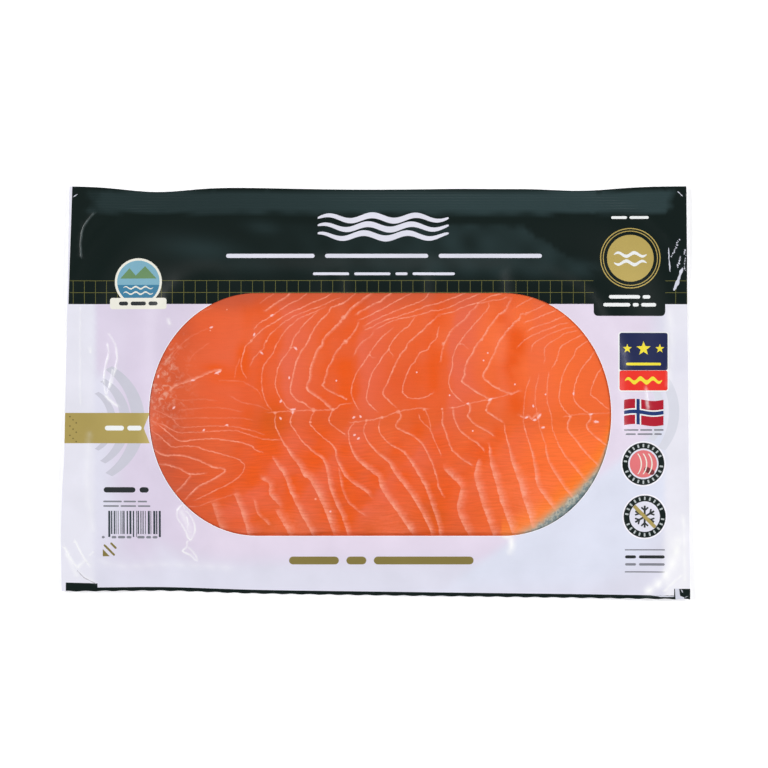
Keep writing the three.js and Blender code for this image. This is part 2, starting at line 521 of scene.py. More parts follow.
def foldWhiteAndHighlight(x, y):
    # film is painted whiter along folds and blisters: partly stress whitening, partly a painted highlight
    white = np.zeros(len(x))
    for path, _, reach, most in creaseRows:
        share = bell(pathDistance(x, y, path), 0, reach) * (0.75 + 0.25 * np.sin(x * 0.9 + y * 0.7))
        white = np.maximum(white, share * most)
    return white


def sealShare(x, y):
    # the seal's lower edge is uneven, and its folded corners are left out, so they get no ribs and no
    # painted sheen and stay darker
    waver = 0.9 * patches(x, y, 14, 8)
    share = smooth(y + waver, *topSeal["low"]) * (1 - smooth(y, *topSeal["high"]))
    left = smooth(x + 5 * patches(x, y, 9, 21), *topSeal["left"])
    leaning = x - topSeal["rightLean"] * (y - 92)
    right = 1 - smooth(leaning + 2 * patches(x, y, 6, 25), *topSeal["right"])
    return share * left * right


def bandSheen(x, y):
    # painted sheen: slack film over the dark band is painted lighter in a few broad, soft areas, as if it
    # caught the light
    upper = np.interp(x, band["sheenX"], band["sheenY"]) + 1.2 * patches(x, y, 12, 17)
    middle = smooth(upper - y, 0, 2.2) * smooth(x, *band["sheenLeft"])
    middle = middle * (1 - smooth(x, *band["sheenRight"])) * smooth(y, *band["sheenFoot"])
    share = band["sheenShare"] * middle * (0.75 + 0.6 * patches(x, y, 17, 41))
    for centreX, centreY, reachX, reachY, most in band["sheenSpots"]:
        slanted = y + 0.12 * (x - centreX)
        share = np.maximum(share, most * spot(x, slanted, centreX, centreY, reachX, reachY))
    return np.clip(share, 0, 1)


def rounded(cx, cy, width, height, radius=0.0, turn=0.0):
    # a rectangle with round corners, turned by some degrees
    radius = min(radius, width / 2, height / 2)
    points = []
    steps = 5 if radius > 0 else 1
    for corner, (sx, sy) in enumerate([(1, -1), (1, 1), (-1, 1), (-1, -1)]):
        for k in range(steps):
            angle = math.radians(corner * 90 - 90 + 90 * (k / (steps - 1) if steps > 1 else 0))
            px = sx * (width / 2 - radius) + radius * math.cos(angle)
            py = sy * (height / 2 - radius) + radius * math.sin(angle)
            points.append((px, py))
    c, s = math.cos(math.radians(turn)), math.sin(math.radians(turn))
    return [(cx + px * c - py * s, cy + px * s + py * c) for px, py in points]


def disc(cx, cy, radius, steps=48):
    turns = [2 * math.pi * k / steps for k in range(steps)]
    return [(cx + radius * math.cos(a), cy + radius * math.sin(a)) for a in turns]


def star(cx, cy, radius, points=5, inner=0.42):
    outline = []
    for k in range(points * 2):
        reach = radius if k % 2 == 0 else radius * inner
        angle = math.pi / 2 + math.pi * k / points
        outline.append((cx + reach * math.cos(angle), cy + reach * math.sin(angle)))
    return outline


def windowOutline(grow=0.0, steps=60):
    # two half ellipses joined by straight lines
    cy = (window["low"] + window["high"]) / 2
    half = (window["high"] - window["low"]) / 2 + grow
    points = []
    ends = ((window["right"], window["rightReach"], -90), (window["left"], -window["leftReach"], 90))
    for end, reach, start in ends:
        for k in range(steps + 1):
            angle = math.radians(start + 180 * k / steps)
            across = abs(math.cos(angle)) * (abs(reach) + grow)
            points.append((end - reach + math.copysign(across, reach), cy + half * math.sin(angle)))
    return points


def waveRibbon(x0, x1, cy, amplitude, wavelength, thickness, phase=0.0):
    # a ribbon along a sine wave, thick on its crests and thin at its ends
    steps = max(12, int((x1 - x0) / 0.8))
    upper, lower = [], []
    for k in range(steps + 1):
        x = x0 + (x1 - x0) * k / steps
        y = cy + amplitude * math.sin(2 * math.pi * (x - x0) / wavelength + phase)
        half = thickness / 2 * (0.25 + 0.75 * math.sin(math.pi * k / steps) ** 0.5)
        upper.append((x, y + half))
        lower.append((x, y - half))
    return lower + upper[::-1]


def dense(points, step):
    # the same outline with no edge longer than step
    finer = []
    for (ax, ay), (bx, by) in zip(points, points[1:] + points[:1]):
        parts = max(1, math.ceil(math.hypot(bx - ax, by - ay) / step))
        for k in range(parts):
            finer.append((ax + (bx - ax) * k / parts, ay + (by - ay) * k / parts))
    return finer


printed = []  # every printed shape as (ink, outline), the later ones on top


def printShape(ink, outline):
    ends = outline[1:] + outline[:1]
    area = sum(ax * by - bx * ay for (ax, ay), (bx, by) in zip(outline, ends))
    printed.append((ink, dense(outline if area > 0 else outline[::-1], film["printStep"])))


def printRows(rows):
    # rows of plain bars with round ends, shared out by their lengths
    for ink, left, right, height, thickness, lengths, gap in rows:
        unit = (right - left - gap * (len(lengths) - 1)) / sum(lengths)
        x = left
        for length in lengths:
            width = unit * length
            printShape(ink, rounded(x + width / 2, height, width, thickness, thickness / 2))
            x += width + gap


def printScuff(path, width, ink="worn"):
    # a thin ragged stroke
    points = roundPath(path, film["creaseStep"], film["creaseRagged"])
    half = width / 2 * np.random.uniform(0.4, 1.0, len(points))
    half[[0, -1]] = width / 10
    printShape(ink, beside(points, -half).tolist() + beside(points, half)[::-1].tolist())


def packOutline():
    pitch, depth = film["scallop"]
    points = []
    countAcross = round(pack["width"] / film["outlineStep"])
    countUp = round(pack["depth"] / film["outlineStep"])
    for k in range(countAcross):
        x, y = onPack(k / countAcross, 0.0)
        points.append((float(x), float(y) + depth * (1 - math.cos(2 * math.pi * x / pitch)) / 2))
    for k in range(countUp):
        x, y = onPack(1.0, k / countUp)
        points.append((float(x), float(y)))
    for k in range(countAcross):
        x, y = onPack(1 - k / countAcross, 1.0)
        points.append((float(x), float(y)))
    for k in range(countUp):
        x, y = onPack(0.0, 1 - k / countUp)
        points.append((float(x), float(y)))
    return points


def printBand():
    half = pack["width"] / 2 + band["beyond"]
    top = pack["depth"] / 2 + band["beyond"]
    low = band["low"]
    printShape("nearBlack", [(band["leftLow"], low), (half, low), (half, top), (band["leftTop"], top)])
    # fine grid along its lower edge
    line, left = band["gridLine"] / 2, band["gridLeft"]
    for y in band["gridLevels"]:
        printShape("olive", [(left, y - line), (half, y - line), (half, y + line), (left, y + line)])
    x, top = band["gridStart"], band["gridLevels"][0]
    while x < pack["width"] / 2:
        printShape("olive", [(x - line, low), (x + line, low), (x + line, top), (x - line, top)])
        x += band["gridPitch"][0 if x < band["gridTight"] else 1]
    printShape("nearBlack", rounded(*band["tab"]))
    # worn places near the ends
    for path, width in band["scuffs"]:
        printScuff(path, width)
    for start, end, count in band["wornDots"]:
        for k in range(count):
            x = shaken(mix(start[0], end[0], k / count), 0.5)
            y = shaken(mix(start[1], end[1], k / count), 0.3)
            printShape("worn", disc(x, y, random.uniform(0.16, 0.42), 6))
    printGoldDisc(122.4, 64.8)
    printRows(band["tabRows"])
    # plain wave ornament and rules in the middle
    for height, phase in band["waves"]:
        printShape("lilacWhite", waveRibbon(-28.0, 35.0, height, 1.3, 21.0, 2.9, phase))
    printRows(band["rules"])


def printGoldDisc(cx, cy):
    # a gold ring and a gold disc with two white waves
    for radius, ink in ((14.6, "goldFoil"), (14.1, "nearBlack"), (13.3, "goldFoil"), (12.9, "nearBlack")):
        printShape(ink, disc(cx, cy, radius))
    printShape("goldFoil", disc(cx, cy, 11.3))
    for lift, phase in ((1.8, 0.0), (-2.2, math.pi)):
        printShape("white", waveRibbon(cx - 7.9, cx + 7.9, cy + lift, 0.9, 7.9, 1.7, phase))


def printSeal(cx, cy):
    # round seal at the band's left end: cream rim, water and hills in flat colour
    rim, inner = 11.4, 10.3
    hills = [(-8.8, 1.6), (-4.3, 6.6), (-1.3, 3.1), (3.2, 7.6), (8.8, 1.6)]
    water = [math.radians(188 + 164 * k / 24) for k in range(25)]
    printShape("cream", disc(cx, cy, rim))
    printShape("teal", disc(cx, cy, inner))
    printShape("paleGreen", [(cx + x, cy + y) for x, y in hills])
    printShape("water", [(cx + inner * math.cos(a), cy + inner * math.sin(a)) for a in water])
    for drop in (2.8, 5.4):
        printShape("cream", waveRibbon(cx - 7.3, cx + 7.2, cy - drop, 0.6, 4.8, 0.8))
    printShape("cream", rounded(cx, cy - 10.4, 27.4, 5.4, 1.2))
    printRows([("charcoal", cx - 9.4, cx + 9.4, cy - 10.4, 1.9, (3, 5, 3), 1.2)])


def printCrescents(ink, cx, cy, sizes, low, high):
    for reach, thick in sizes:
        outer, inner = [], []
        for k in range(31):
            angle = math.radians(low + (high - low) * k / 30)
            c, s = math.cos(angle), math.sin(angle)
            outer.append((cx + reach * c, cy + reach * s))
            inner.append((cx - thick * 0.55 + (reach - thick * 0.45) * c, cy + (reach - thick * 0.1) * s))
        printShape(ink, outer + inner[-2:0:-1])


leftPrint = {
    "crescents": ((30, 6.5), (23, 5.0), (16, 3.6)),  # reach, thickness
    "ribbon": [(-152, -9.6), (-108.6, -9.6), (-111.6, -16.9), (-108.6, -24.2), (-152, -24.2)],
    "barsLeft": -128.8,
    "barsRight": -103.6,
    "barsTop": -56.7,
    "barHeight": 11.2,
    "barWidths": (0.33, 0.33, 0.66, 0.99),
    "guardHeight": 12.6,
    "guards": (-127.5, -105.5),  # the bars outside these, and in the middle, are longer
    "middleGuard": 1.2,
    "rowsAbove": [
        ("charcoal", -131.0, -109.2, -46.6, 2.6, (7, 2), 2.0),
        ("midGrey", -131.2, -110.0, -52.2, 0.8, (6, 4, 3), 0.8),
        ("midGrey", -131.2, -108.4, -54.4, 0.8, (5, 5, 4), 0.8),
    ],
    "rowsBelow": [
        ("midGrey", -131.9, -130.5, -69.4, 1.2, (1,), 0),
        ("midGrey", -127.2, -117.6, -69.4, 1.2, (2, 3, 2), 0.7),
        ("midGrey", -114.8, -105.0, -69.4, 1.2, (3, 2, 2), 0.7),
    ],
    "corner": [(-131.4, -78.6), (-128.1, -78.6), (-131.4, -75.1)],
    "slantedBars": [(-128.3, -75.6, 7.4), (-126.3, -73.5, 4.0)],  # place, length
}


def printLeft():
    # pale crescents behind the gold ribbon
    printCrescents("paleBlue", -141, -13.6, leftPrint["crescents"], -62, 62)
    printShape("goldInk", leftPrint["ribbon"])
    for k in range(9):
        printShape("goldShade", disc(-147.2 + (k % 3) * 1.5, -11.4 - 1.5 * k, 0.38, 10))
    printRows([("white", -130.4, -112.6, -16.9, 2.3, (4, 3), 1.6)])
    printRows(leftPrint["rowsAbove"])
    # upright bars in a random order
    left, right = leftPrint["barsLeft"], leftPrint["barsRight"]
    x = left
    while x < right:
        width = random.choice(leftPrint["barWidths"])
        atEnd = x < leftPrint["guards"][0] or x > leftPrint["guards"][1]
        guard = atEnd or abs(x - (left + right) / 2) < leftPrint["middleGuard"]
        height = leftPrint["guardHeight" if guard else "barHeight"]
        printShape("barInk", rounded(x + width / 2, leftPrint["barsTop"] - height / 2, width, height))
        x += width + random.choice(leftPrint["barWidths"])
    printRows(leftPrint["rowsBelow"])
    printShape("dullGold", leftPrint["corner"])
    for x, y, length in leftPrint["slantedBars"]:
        printShape("dullGold", rounded(x, y, length, 1.0, 0.5, -45))


def printBadge(cx, cy):
    # two-colour badge with stars
    printShape("white", rounded(cx, cy, 24.6, 28.8, 1.6))
    printShape("navy", rounded(cx, cy + 4.9, 23.4, 18.0, 1.0))
    printShape("redInk", rounded(cx, cy - 9.0, 23.4, 9.6, 1.0))
    for shift, radius in ((-7.9, 2.3), (0, 3.6), (7.9, 2.3)):
        printShape("yellow", star(cx + shift, cy + 6.3, radius))
    printShape("yellow", rounded(cx, cy - 1.1, 17.0, 1.3, 0.65))
    printShape("yellow", waveRibbon(cx - 9, cx + 9, cy - 9.0, 1.0, 6.0, 2.2))


def printFlag(cx, cy):
    # national flag, slightly waving: red, with a blue cross edged in white
    width, height, mast, sway = 19.2, 12.2, -2.75, 0.55
    for ink, x, y, across, up in (
        ("crimson", 0, 0, width, height),
        ("white", mast, 0, 2.9, height),
        ("white", 0, 0, width, 3.1),
        ("flagBlue", mast, 0, 1.6, height),
        ("flagBlue", 0, 0, width, 1.8),
    ):
        outline = dense(rounded(cx + x, cy + y, across, up), 1.0)
        printShape(ink, [
            (px, py + sway * math.sin(2 * math.pi * (px - cx + width / 2) / width)) for px, py in outline
        ])


ring = {
    "halo": 10.9,
    "outer": 10.2,
    "inner": 7.4,
    "ticks": 22,
    "tickSize": (0.8, 1.7, 0.3),  # width, height, corner
}


def printRing(cx, cy):
    printShape("brightWhite", disc(cx, cy, ring["halo"]))
    printShape("nearBlack", disc(cx, cy, ring["outer"]))
    printShape("lilacWhite", disc(cx, cy, ring["inner"]))
    middle = (ring["outer"] + ring["inner"]) / 2
    for k in range(ring["ticks"]):
        if k % (ring["ticks"] // 2) == 0:
            continue
        angle = 2 * math.pi * (k + 0.5) / ring["ticks"]
        x, y = cx + middle * math.cos(angle), cy + middle * math.sin(angle)
        printShape("paleGrey", rounded(x, y, *ring["tickSize"], math.degrees(angle) + 90))


def clipToDisc(points, cx, cy, radius):
    clipped = []
    for x, y in points:
        reach = math.hypot(x - cx, y - cy)
        scale = min(1.0, radius / reach)
        clipped.append((cx + (x - cx) * scale, cy + (y - cy) * scale))
    return clipped


def printFleshRoundel(cx, cy):
    # roundel with pink flesh lines
    printRing(cx, cy)
    printShape("pink", disc(cx, cy, 6.6))
    printShape("maroon", rounded(cx + 2.9, cy - 3.4, 5.4, 2.6, 1.3, -28))
    turns = [math.radians(-38 + 76 * k / 12) for k in range(13)]
    for k in range(4):
        arc = [(cx - 8.7 + 2.6 * k + 8 * math.cos(a), cy + 8 * math.sin(a)) for a in turns]
        back = [(x - 0.6, y) for x, y in arc[::-1]]
        printShape("cream", clipToDisc(arc + back, cx, cy, 6.2))


def printSnowRoundel(cx, cy):
    # roundel with a snowflake and a gold bar
    printRing(cx, cy)
    for k in range(3):
        printShape("charcoal", rounded(cx, cy, 10.6, 0.95, 0.2, 60 * k + 30))
    for k in range(6):
        turn = math.radians(60 * k + 30)
        for tilt in (48, -48):
            end = turn + math.radians(tilt)
            x = cx + 3.0 * math.cos(turn) + math.cos(end)
            y = cy + 3.0 * math.sin(turn) + math.sin(end)
            printShape("charcoal", rounded(x, y, 2.5, 0.8, 0.2, math.degrees(end)))
    printShape("goldInk", rounded(cx, cy, 14.6, 1.7, 0.3, -45))


def printRight():
    printCrescents("mist", 117, -9, ((29, 5.0), (22, 3.8)), -40, 34)
    printBadge(128.7, 15.0)
    printFlag(128.8, -9.4)
    printRows([
        ("midGrey", 119.2, 138.4, -17.8, 0.8, (6, 5, 4), 0.8),
        ("midGrey", 120.0, 137.6, -19.8, 0.8, (4, 6, 3), 0.8),
    ])
    printFleshRoundel(128.6, -34.1)
    printSnowRoundel(129.3, -59.5)
    # two rows between rules
    printShape("midGrey", rounded(129.4, -75.5, 19.2, 0.6))
    printRows([
        ("charcoal", 119.9, 138.9, -78.9, 1.5, (3, 7), 1.4),
        ("midGrey", 119.9, 138.9, -82.5, 1.2, (3, 7), 1.4),
    ])
    printShape("midGrey", rounded(129.4, -86.1, 19.2, 0.6))


foot = {
    "rows": [("dullGold", -41.8, 47.0, -80.6, 3.8, (5, 2, 10), 3.6)],
    "strip": 1.9,  # height of the black strip along the bottom edge
    "low": -102.4,
    "leftBlock": [(-149.2, -102.4), (-133.9, -102.4), (-133.9, -91.6), (-149.2, -91.2)],
    "rightBlock": [(143.4, -102.4), (156, -102.4), (156, -94.2), (143.4, -94.2)],
    "worn": [
        (143.8, -94.1), (144.2, -101), (148.4, -101), (148.2, -98.3), (146.3, -97.6), (145.8, -94.1),
    ],
    "scuffs": [  # ink is missing in places, and a fold beside the left block is dark: path, width, ink
        ([(146.8, -94.4), (147.7, -96.2)], 0.5, "worn"),
        ([(148.6, -98.6), (150, -97.6)], 0.4, "worn"),
        ([(131.5, -96.8), (135, -97.6), (143.6, -97.9)], 0.8, "worn"),
        # painted shade: a grey stroke along the shaded side of a fold beside the left block
        ([(-143.7, -85.3), (-140.6, -88.6), (-137.5, -90.4), (-134.4, -91.8)], 0.55, "paintedFoldShade"),
    ],
}


def printFoot():
    printRows(foot["rows"])
    # black strip along the bottom edge, with a block at each end
    edge = [onPack(k / 60, 0.0) for k in range(3, 60)]
    edge = [(float(x), float(y) + foot["strip"]) for x, y in edge]
    printShape("nearBlack", [(edge[0][0], foot["low"]), (edge[-1][0], foot["low"])] + edge[::-1])
    printShape("nearBlack", foot["leftBlock"])
    printShape("nearBlack", foot["rightBlock"])
    printShape("worn", foot["worn"])
    for path, width, ink in foot["scuffs"]:
        printScuff(path, width, ink)


def addLoop(corners, faces, loop):
    faces.append(list(range(len(corners), len(corners) + len(loop))))
    corners += [Vector(point) for point in loop]


def triangulate():
    # one mesh for the whole front film, cut along every printed outline
    outline = packOutline()
    printShape("brightWhite", windowOutline(window["rim"]))
    printBand()
    printSeal(-114.2, 53.4)
    printLeft()
    printRight()
    printFoot()
    corners, faces = [], []
    for loop in [outline, dense(windowOutline(), film["printStep"])] + [points for _, points in printed]:
        addLoop(corners, faces, loop)
    for path, _, reach, _ in creaseRows:
        for offset in (-2 * reach, -reach, 0, reach, 2 * reach):
            corners += [Vector(point) for point in beside(path, offset).tolist()]
    clear, step = film["clear"], film["grid"]
    (left, right), (low, high) = film["innerAcross"], film["innerUp"]
    taken = {(round(p.x / clear), round(p.y / clear)) for p in corners}
    for row in range(int(pack["depth"] / step) + 1):
        for column in range(int(pack["width"] / step) + 1):
            across = (column + 0.5 * (row % 2)) * step / pack["width"]
            up = row * step / pack["depth"]
            if not (left < across < right and low < up < high):
                continue
            x, y = onPack(across, up)
            if (round(float(x) / clear), round(float(y) / clear)) not in taken:
                corners.append(Vector((float(x), float(y))))
    points, _, triangles, _, _, owners = delaunay_2d_cdt(corners, [], faces, 1, 1e-5, True)
    return points, triangles, owners


def filmFields(x, y):
    # for each point: what lies under it, and how it is sealed, folded and lit
    outside = outsideFish(x, y)
    overFish = 1 - smooth(outside, -6, 9)
    besideFish = 0.9 * smooth(y, 4, 14) * (1 - smooth(-x, 133, 137)) * (x < 0)
    besideFish = np.maximum(besideFish, 0.9 * spot(x, y, -114, -72, 13, 11))
    lineX, lineY, runX, runY = film["skinLine"]
    pastLine = ((x - lineX) * runY - (y - lineY) * runX) / math.hypot(runX, runY)
    seal = sealShare(x, y)
    leftSeal = 0.75 * (1 - smooth(x, -137, -134))
    rightSeal = smooth(x, 137.5, 140.5) * (1 - 0.5 * bell(y, 16, 12))
    return {
        "overFish": np.maximum(overFish, besideFish),
        "overPaleFish": overFish * smooth(x, -102, -70),
        "overSkin": (1 - smooth(outside, 8, 24)) * smooth(pastLine, -3, 3),
        "sealRibs": seal,
        # painted sheen: the top seal strip and a few areas of the dark band are painted lighter
        "sheen": np.maximum(seal * (0.55 + 0.45 * smooth(x, -90, 60)), bandSheen(x, y)),
        "foldWhiteAndHighlight": foldWhiteAndHighlight(x, y),
        # painted highlight: a pale streak down the lower part of the right seal
        "paintedSealHighlight": 0.4 * smooth(x, 137, 141) * smooth(-y, 45, 75),
        "sideSeals": rightSeal + leftSeal,
    }


def buildFilmMesh(name, points, triangles):
    used = sorted({corner for triangle in triangles for corner in triangle})
    renumbered = {old: new for new, old in enumerate(used)}
    x = np.array([points[k].x for k in used])
    y = np.array([points[k].y for k in used])
    faces = [[renumbered[corner] for corner in triangle] for triangle in triangles]
    mesh = bpy.data.meshes.new(name)
    mesh.from_pydata(inMetres(x, y, filmHeight(x, y)).tolist(), [], faces)
    mesh.update()
    for field, values in filmFields(x, y).items():
        writeField(mesh, field, values)
    piece = bpy.data.objects.new(name, mesh)
    bpy.context.scene.collection.objects.link(piece)
    pick(piece)
    bpy.ops.object.shade_smooth()
    return piece


def filmInk(name, hexColour, roughness=0.3, metallic=0.0, tints=()):
    # gravure-printed packing film: even colour under a thin clear layer, so a soft gloss all over
    material, tree, shader = newMaterial(name)
    place = addNode(tree, "TexCoord").outputs["Object"]
    cloud = addNode(tree, "TexNoise", links={"Vector": place, "Scale": 55.0, "Detail": 3.0})
    tone = addNode(tree, "MapRange", links={
        "Value": cloud.outputs["Fac"], "From Min": 0.3, "From Max": 0.7, "To Min": 0.96, "To Max": 1.03,
    })
    colour = toLinear(hexColour)
    # folds get a painted highlight: white on pale ink, and a blue-grey painted sheen on dark ink
    crease = ("foldWhiteAndHighlight", "#a9bcbe", 0.3) if roughness < 0.3 else ("foldWhiteAndHighlight", "#ffffff", 1.0)
    # the sheen field paints a pale blue-grey reflection into the ink's colour
    overlays = [("sheen", "#9cc9d2", 0.065), crease]
    overlays = [(field, tint, 1.0) for field, tint in tints] + overlays
    for field, tint, most in overlays:
        share = addNode(tree, "Attribute", {"attribute_name": field})
        part = addNode(tree, "Math", {"operation": "MULTIPLY"}, {0: share.outputs["Fac"], 1: most})
        links = {"Factor": part.outputs["Value"], "A": colour, "B": toLinear(tint)}
        colour = addNode(tree, "Mix", {"data_type": "RGBA"}, links).outputs["Result"]
    toned = addNode(tree, "VectorMath", {"operation": "SCALE"}, {
        0: colour, "Scale": tone.outputs["Result"],
    })
    tree.links.new(toned.outputs["Vector"], shader.inputs["Base Color"])
    # crimped ribs along the top seal, and a faint wrinkle everywhere
    ribs = addNode(tree, "TexWave", {"bands_direction": "Y"}, {
        "Vector": place, "Scale": 2 * math.pi / 20 / (topSeal["ribPitch"] * mm),  # 20 is Blender's own
        "Distortion": 0.6, "Detail": 1.0, "Detail Scale": 0.4,
    })
    sealed = addNode(tree, "Attribute", {"attribute_name": "sealRibs"})
    ribHeight = addNode(tree, "Math", {"operation": "MULTIPLY"}, {
        0: ribs.outputs["Fac"], 1: sealed.outputs["Fac"],
    })
    wrinkle = addNode(tree, "TexNoise", links={"Vector": place, "Scale": 160.0, "Detail": 2.0})
    ribBump = addNode(tree, "Bump", links={
        "Strength": 0.6, "Distance": 0.16 * mm, "Height": ribHeight.outputs["Value"],
    })
    softBump = addNode(tree, "Bump", links={
        "Strength": 0.25, "Distance": 0.15 * mm, "Height": wrinkle.outputs["Fac"],
        "Normal": ribBump.outputs["Normal"],
    })
    tree.links.new(softBump.outputs["Normal"], shader.inputs["Normal"])
    shader.inputs["Roughness"].default_value = roughness
    shader.inputs["Metallic"].default_value = metallic
    return material


def clearFilm():
    # clear co-extruded film: nearly all light passes, with a thin gloss by angle
    material, tree, shader = newMaterial("clear co-extruded packing film")
    place = addNode(tree, "TexCoord").outputs["Object"]
    wrinkle = addNode(tree, "TexNoise", links={"Vector": place, "Scale": 120.0, "Detail": 2.0})
    bump = addNode(tree, "Bump", links={
        "Strength": 0.3, "Distance": 0.2 * mm, "Height": wrinkle.outputs["Fac"],
    })
    gloss = addNode(tree, "BsdfAnisotropic", links={"Roughness": 0.12, "Normal": bump.outputs["Normal"]})
    through = addNode(tree, "BsdfTransparent")
    facing = addNode(tree, "LayerWeight", links={"Blend": 0.5, "Normal": bump.outputs["Normal"]})
    grazing = addNode(tree, "Math", {"operation": "POWER"}, {0: facing.outputs["Facing"], 1: 5.0})
    share = addNode(tree, "Math", {"operation": "MULTIPLY_ADD"}, {
        0: grazing.outputs["Value"], 1: 0.8, 2: 0.02,
    })
    both = addNode(tree, "MixShader", links={
        "Fac": share.outputs["Value"], 1: through.outputs["BSDF"], 2: gloss.outputs["BSDF"],
    })
    tree.nodes.remove(shader)
    tree.links.new(both.outputs["Shader"], tree.nodes["Material Output"].inputs["Surface"])
    return material


inkColours = {  # colour, roughness, metallic
    "film": ("#dfdeed", 0.32, 0.0),
    "brightWhite": ("#f4f2fa", 0.3, 0.0),
    "nearBlack": ("#121d1b", 0.28, 0.0),
    "olive": ("#6f6e3c", 0.3, 0.0),
    "white": ("#eff1f1", 0.3, 0.0),
    "lilacWhite": ("#e3e2ef", 0.3, 0.0),
    "goldFoil": ("#c8b164", 0.34, 0.2),
    "goldInk": ("#b8a45f", 0.34, 0.15),
    "goldShade": ("#7d7040", 0.4, 0.2),
    "dullGold": ("#8d7f47", 0.34, 0.15),
    "cream": ("#edebdf", 0.3, 0.0),
    "teal": ("#7fb0c4", 0.3, 0.0),
    "paleGreen": ("#6b8f63", 0.3, 0.0),
    "water": ("#3f7fa0", 0.3, 0.0),
    "paleBlue": ("#cac9d6", 0.32, 0.0),
    "charcoal": ("#2c3032", 0.3, 0.0),
    "midGrey": ("#85868f", 0.3, 0.0),
    "barInk": ("#39434a", 0.3, 0.0),
    "navy": ("#1d2650", 0.3, 0.0),
    "redInk": ("#ee3226", 0.3, 0.0),
    "crimson": ("#b2102a", 0.3, 0.0),
    "flagBlue": ("#1a3470", 0.3, 0.0),
    "yellow": ("#f4e23c", 0.3, 0.0),
    "pink": ("#e3767a", 0.3, 0.0),
    "maroon": ("#7a2f35", 0.3, 0.0),
    "mist": ("#dbdce7", 0.32, 0.0),
    "paleGrey": ("#b9c0c0", 0.3, 0.0),
    "worn": ("#d3d5e2", 0.4, 0.0),
    # painted shade along a fold
    "paintedFoldShade": ("#a9a5b1", 0.4, 0.0),
}
filmTints = [  # what lies under the pale film gives it a tint
    ("overFish", "#dbd0e4"), ("overPaleFish", "#e6daec"), ("overSkin", "#dfe2f2"), ("sideSeals", "#e9e8f2"),
    # the last tint is a painted highlight on the right seal, not something under the film
    ("paintedSealHighlight", "#fbfafe"),
]


def makeFilms():
    points, triangles, owners = triangulate()
    inks = [ink for ink, _ in printed]
    order = list(inkColours)
    printedFaces, windowFaces, materialOf = [], [], []
    for triangle, owner in zip(triangles, owners):
        if 0 not in owner:
            continue
        if 1 in owner:
            windowFaces.append(triangle)
            continue
        top = max(owner)
        printedFaces.append(triangle)
        materialOf.append(order.index(inks[top - 2]) if top > 1 else 0)
    front = buildFilmMesh("film_printed", points, printedFaces)
    for ink, look in inkColours.items():
        tints = filmTints if ink == "film" else ()
        front.data.materials.append(filmInk(f"printed film {ink}", *look, tints))
    front.data.polygons.foreach_set("material_index", materialOf)
    front.data.update()
    finishPiece(front, "front_film")
    clear = buildFilmMesh("film_window", points, windowFaces)
    clear.data.materials.append(clearFilm())
    finishPiece(clear, "front_film")
    print("front film", len(printedFaces), "window", len(windowFaces))


makeFilms()


backing = {
    "across": 150,
    "up": 100,
    "thickness": 0.3,
    "scalloped": 0.03,  # share of the depth over which the wavy cut runs out
    "ribs": (84, 88),
}


def makeBackFilm():
    deselectAll()
    across, up = backing["across"], backing["up"]
    bpy.ops.mesh.primitive_grid_add(x_subdivisions=across, y_subdivisions=up, size=2)
    piece = bpy.context.object
    piece.name = "film_back"
    points = readPoints(piece.data)
    across, up = (points[:, 0] + 1) / 2, (points[:, 1] + 1) / 2
    x, y = onPack(across, up)
    pitch, depth = film["scallop"]
    nearFoot = 1 - smooth(up, 0.0, backing["scalloped"])
    y = y + nearFoot * depth * (1 - np.cos(2 * math.pi * x / pitch)) / 2
    z = borderLift(x, y) + film["back"]
    writePoints(piece.data, inMetres(x, y, z))
    writeField(piece.data, "sealRibs", smooth(y, *backing["ribs"]))
    wall = piece.modifiers.new("wall", "SOLIDIFY")
    wall.thickness = backing["thickness"] * mm
    wall.offset = -1
    bpy.ops.object.modifier_apply(modifier=wall.name)
    bpy.ops.object.shade_smooth()
    piece.data.materials.append(filmInk("white backing film", "#e6e5ef", 0.34))
    finishPiece(piece, "back_film")


makeBackFilm()
print("back film made")


# Salmon: five slices with pale fat lines between the flakes of muscle

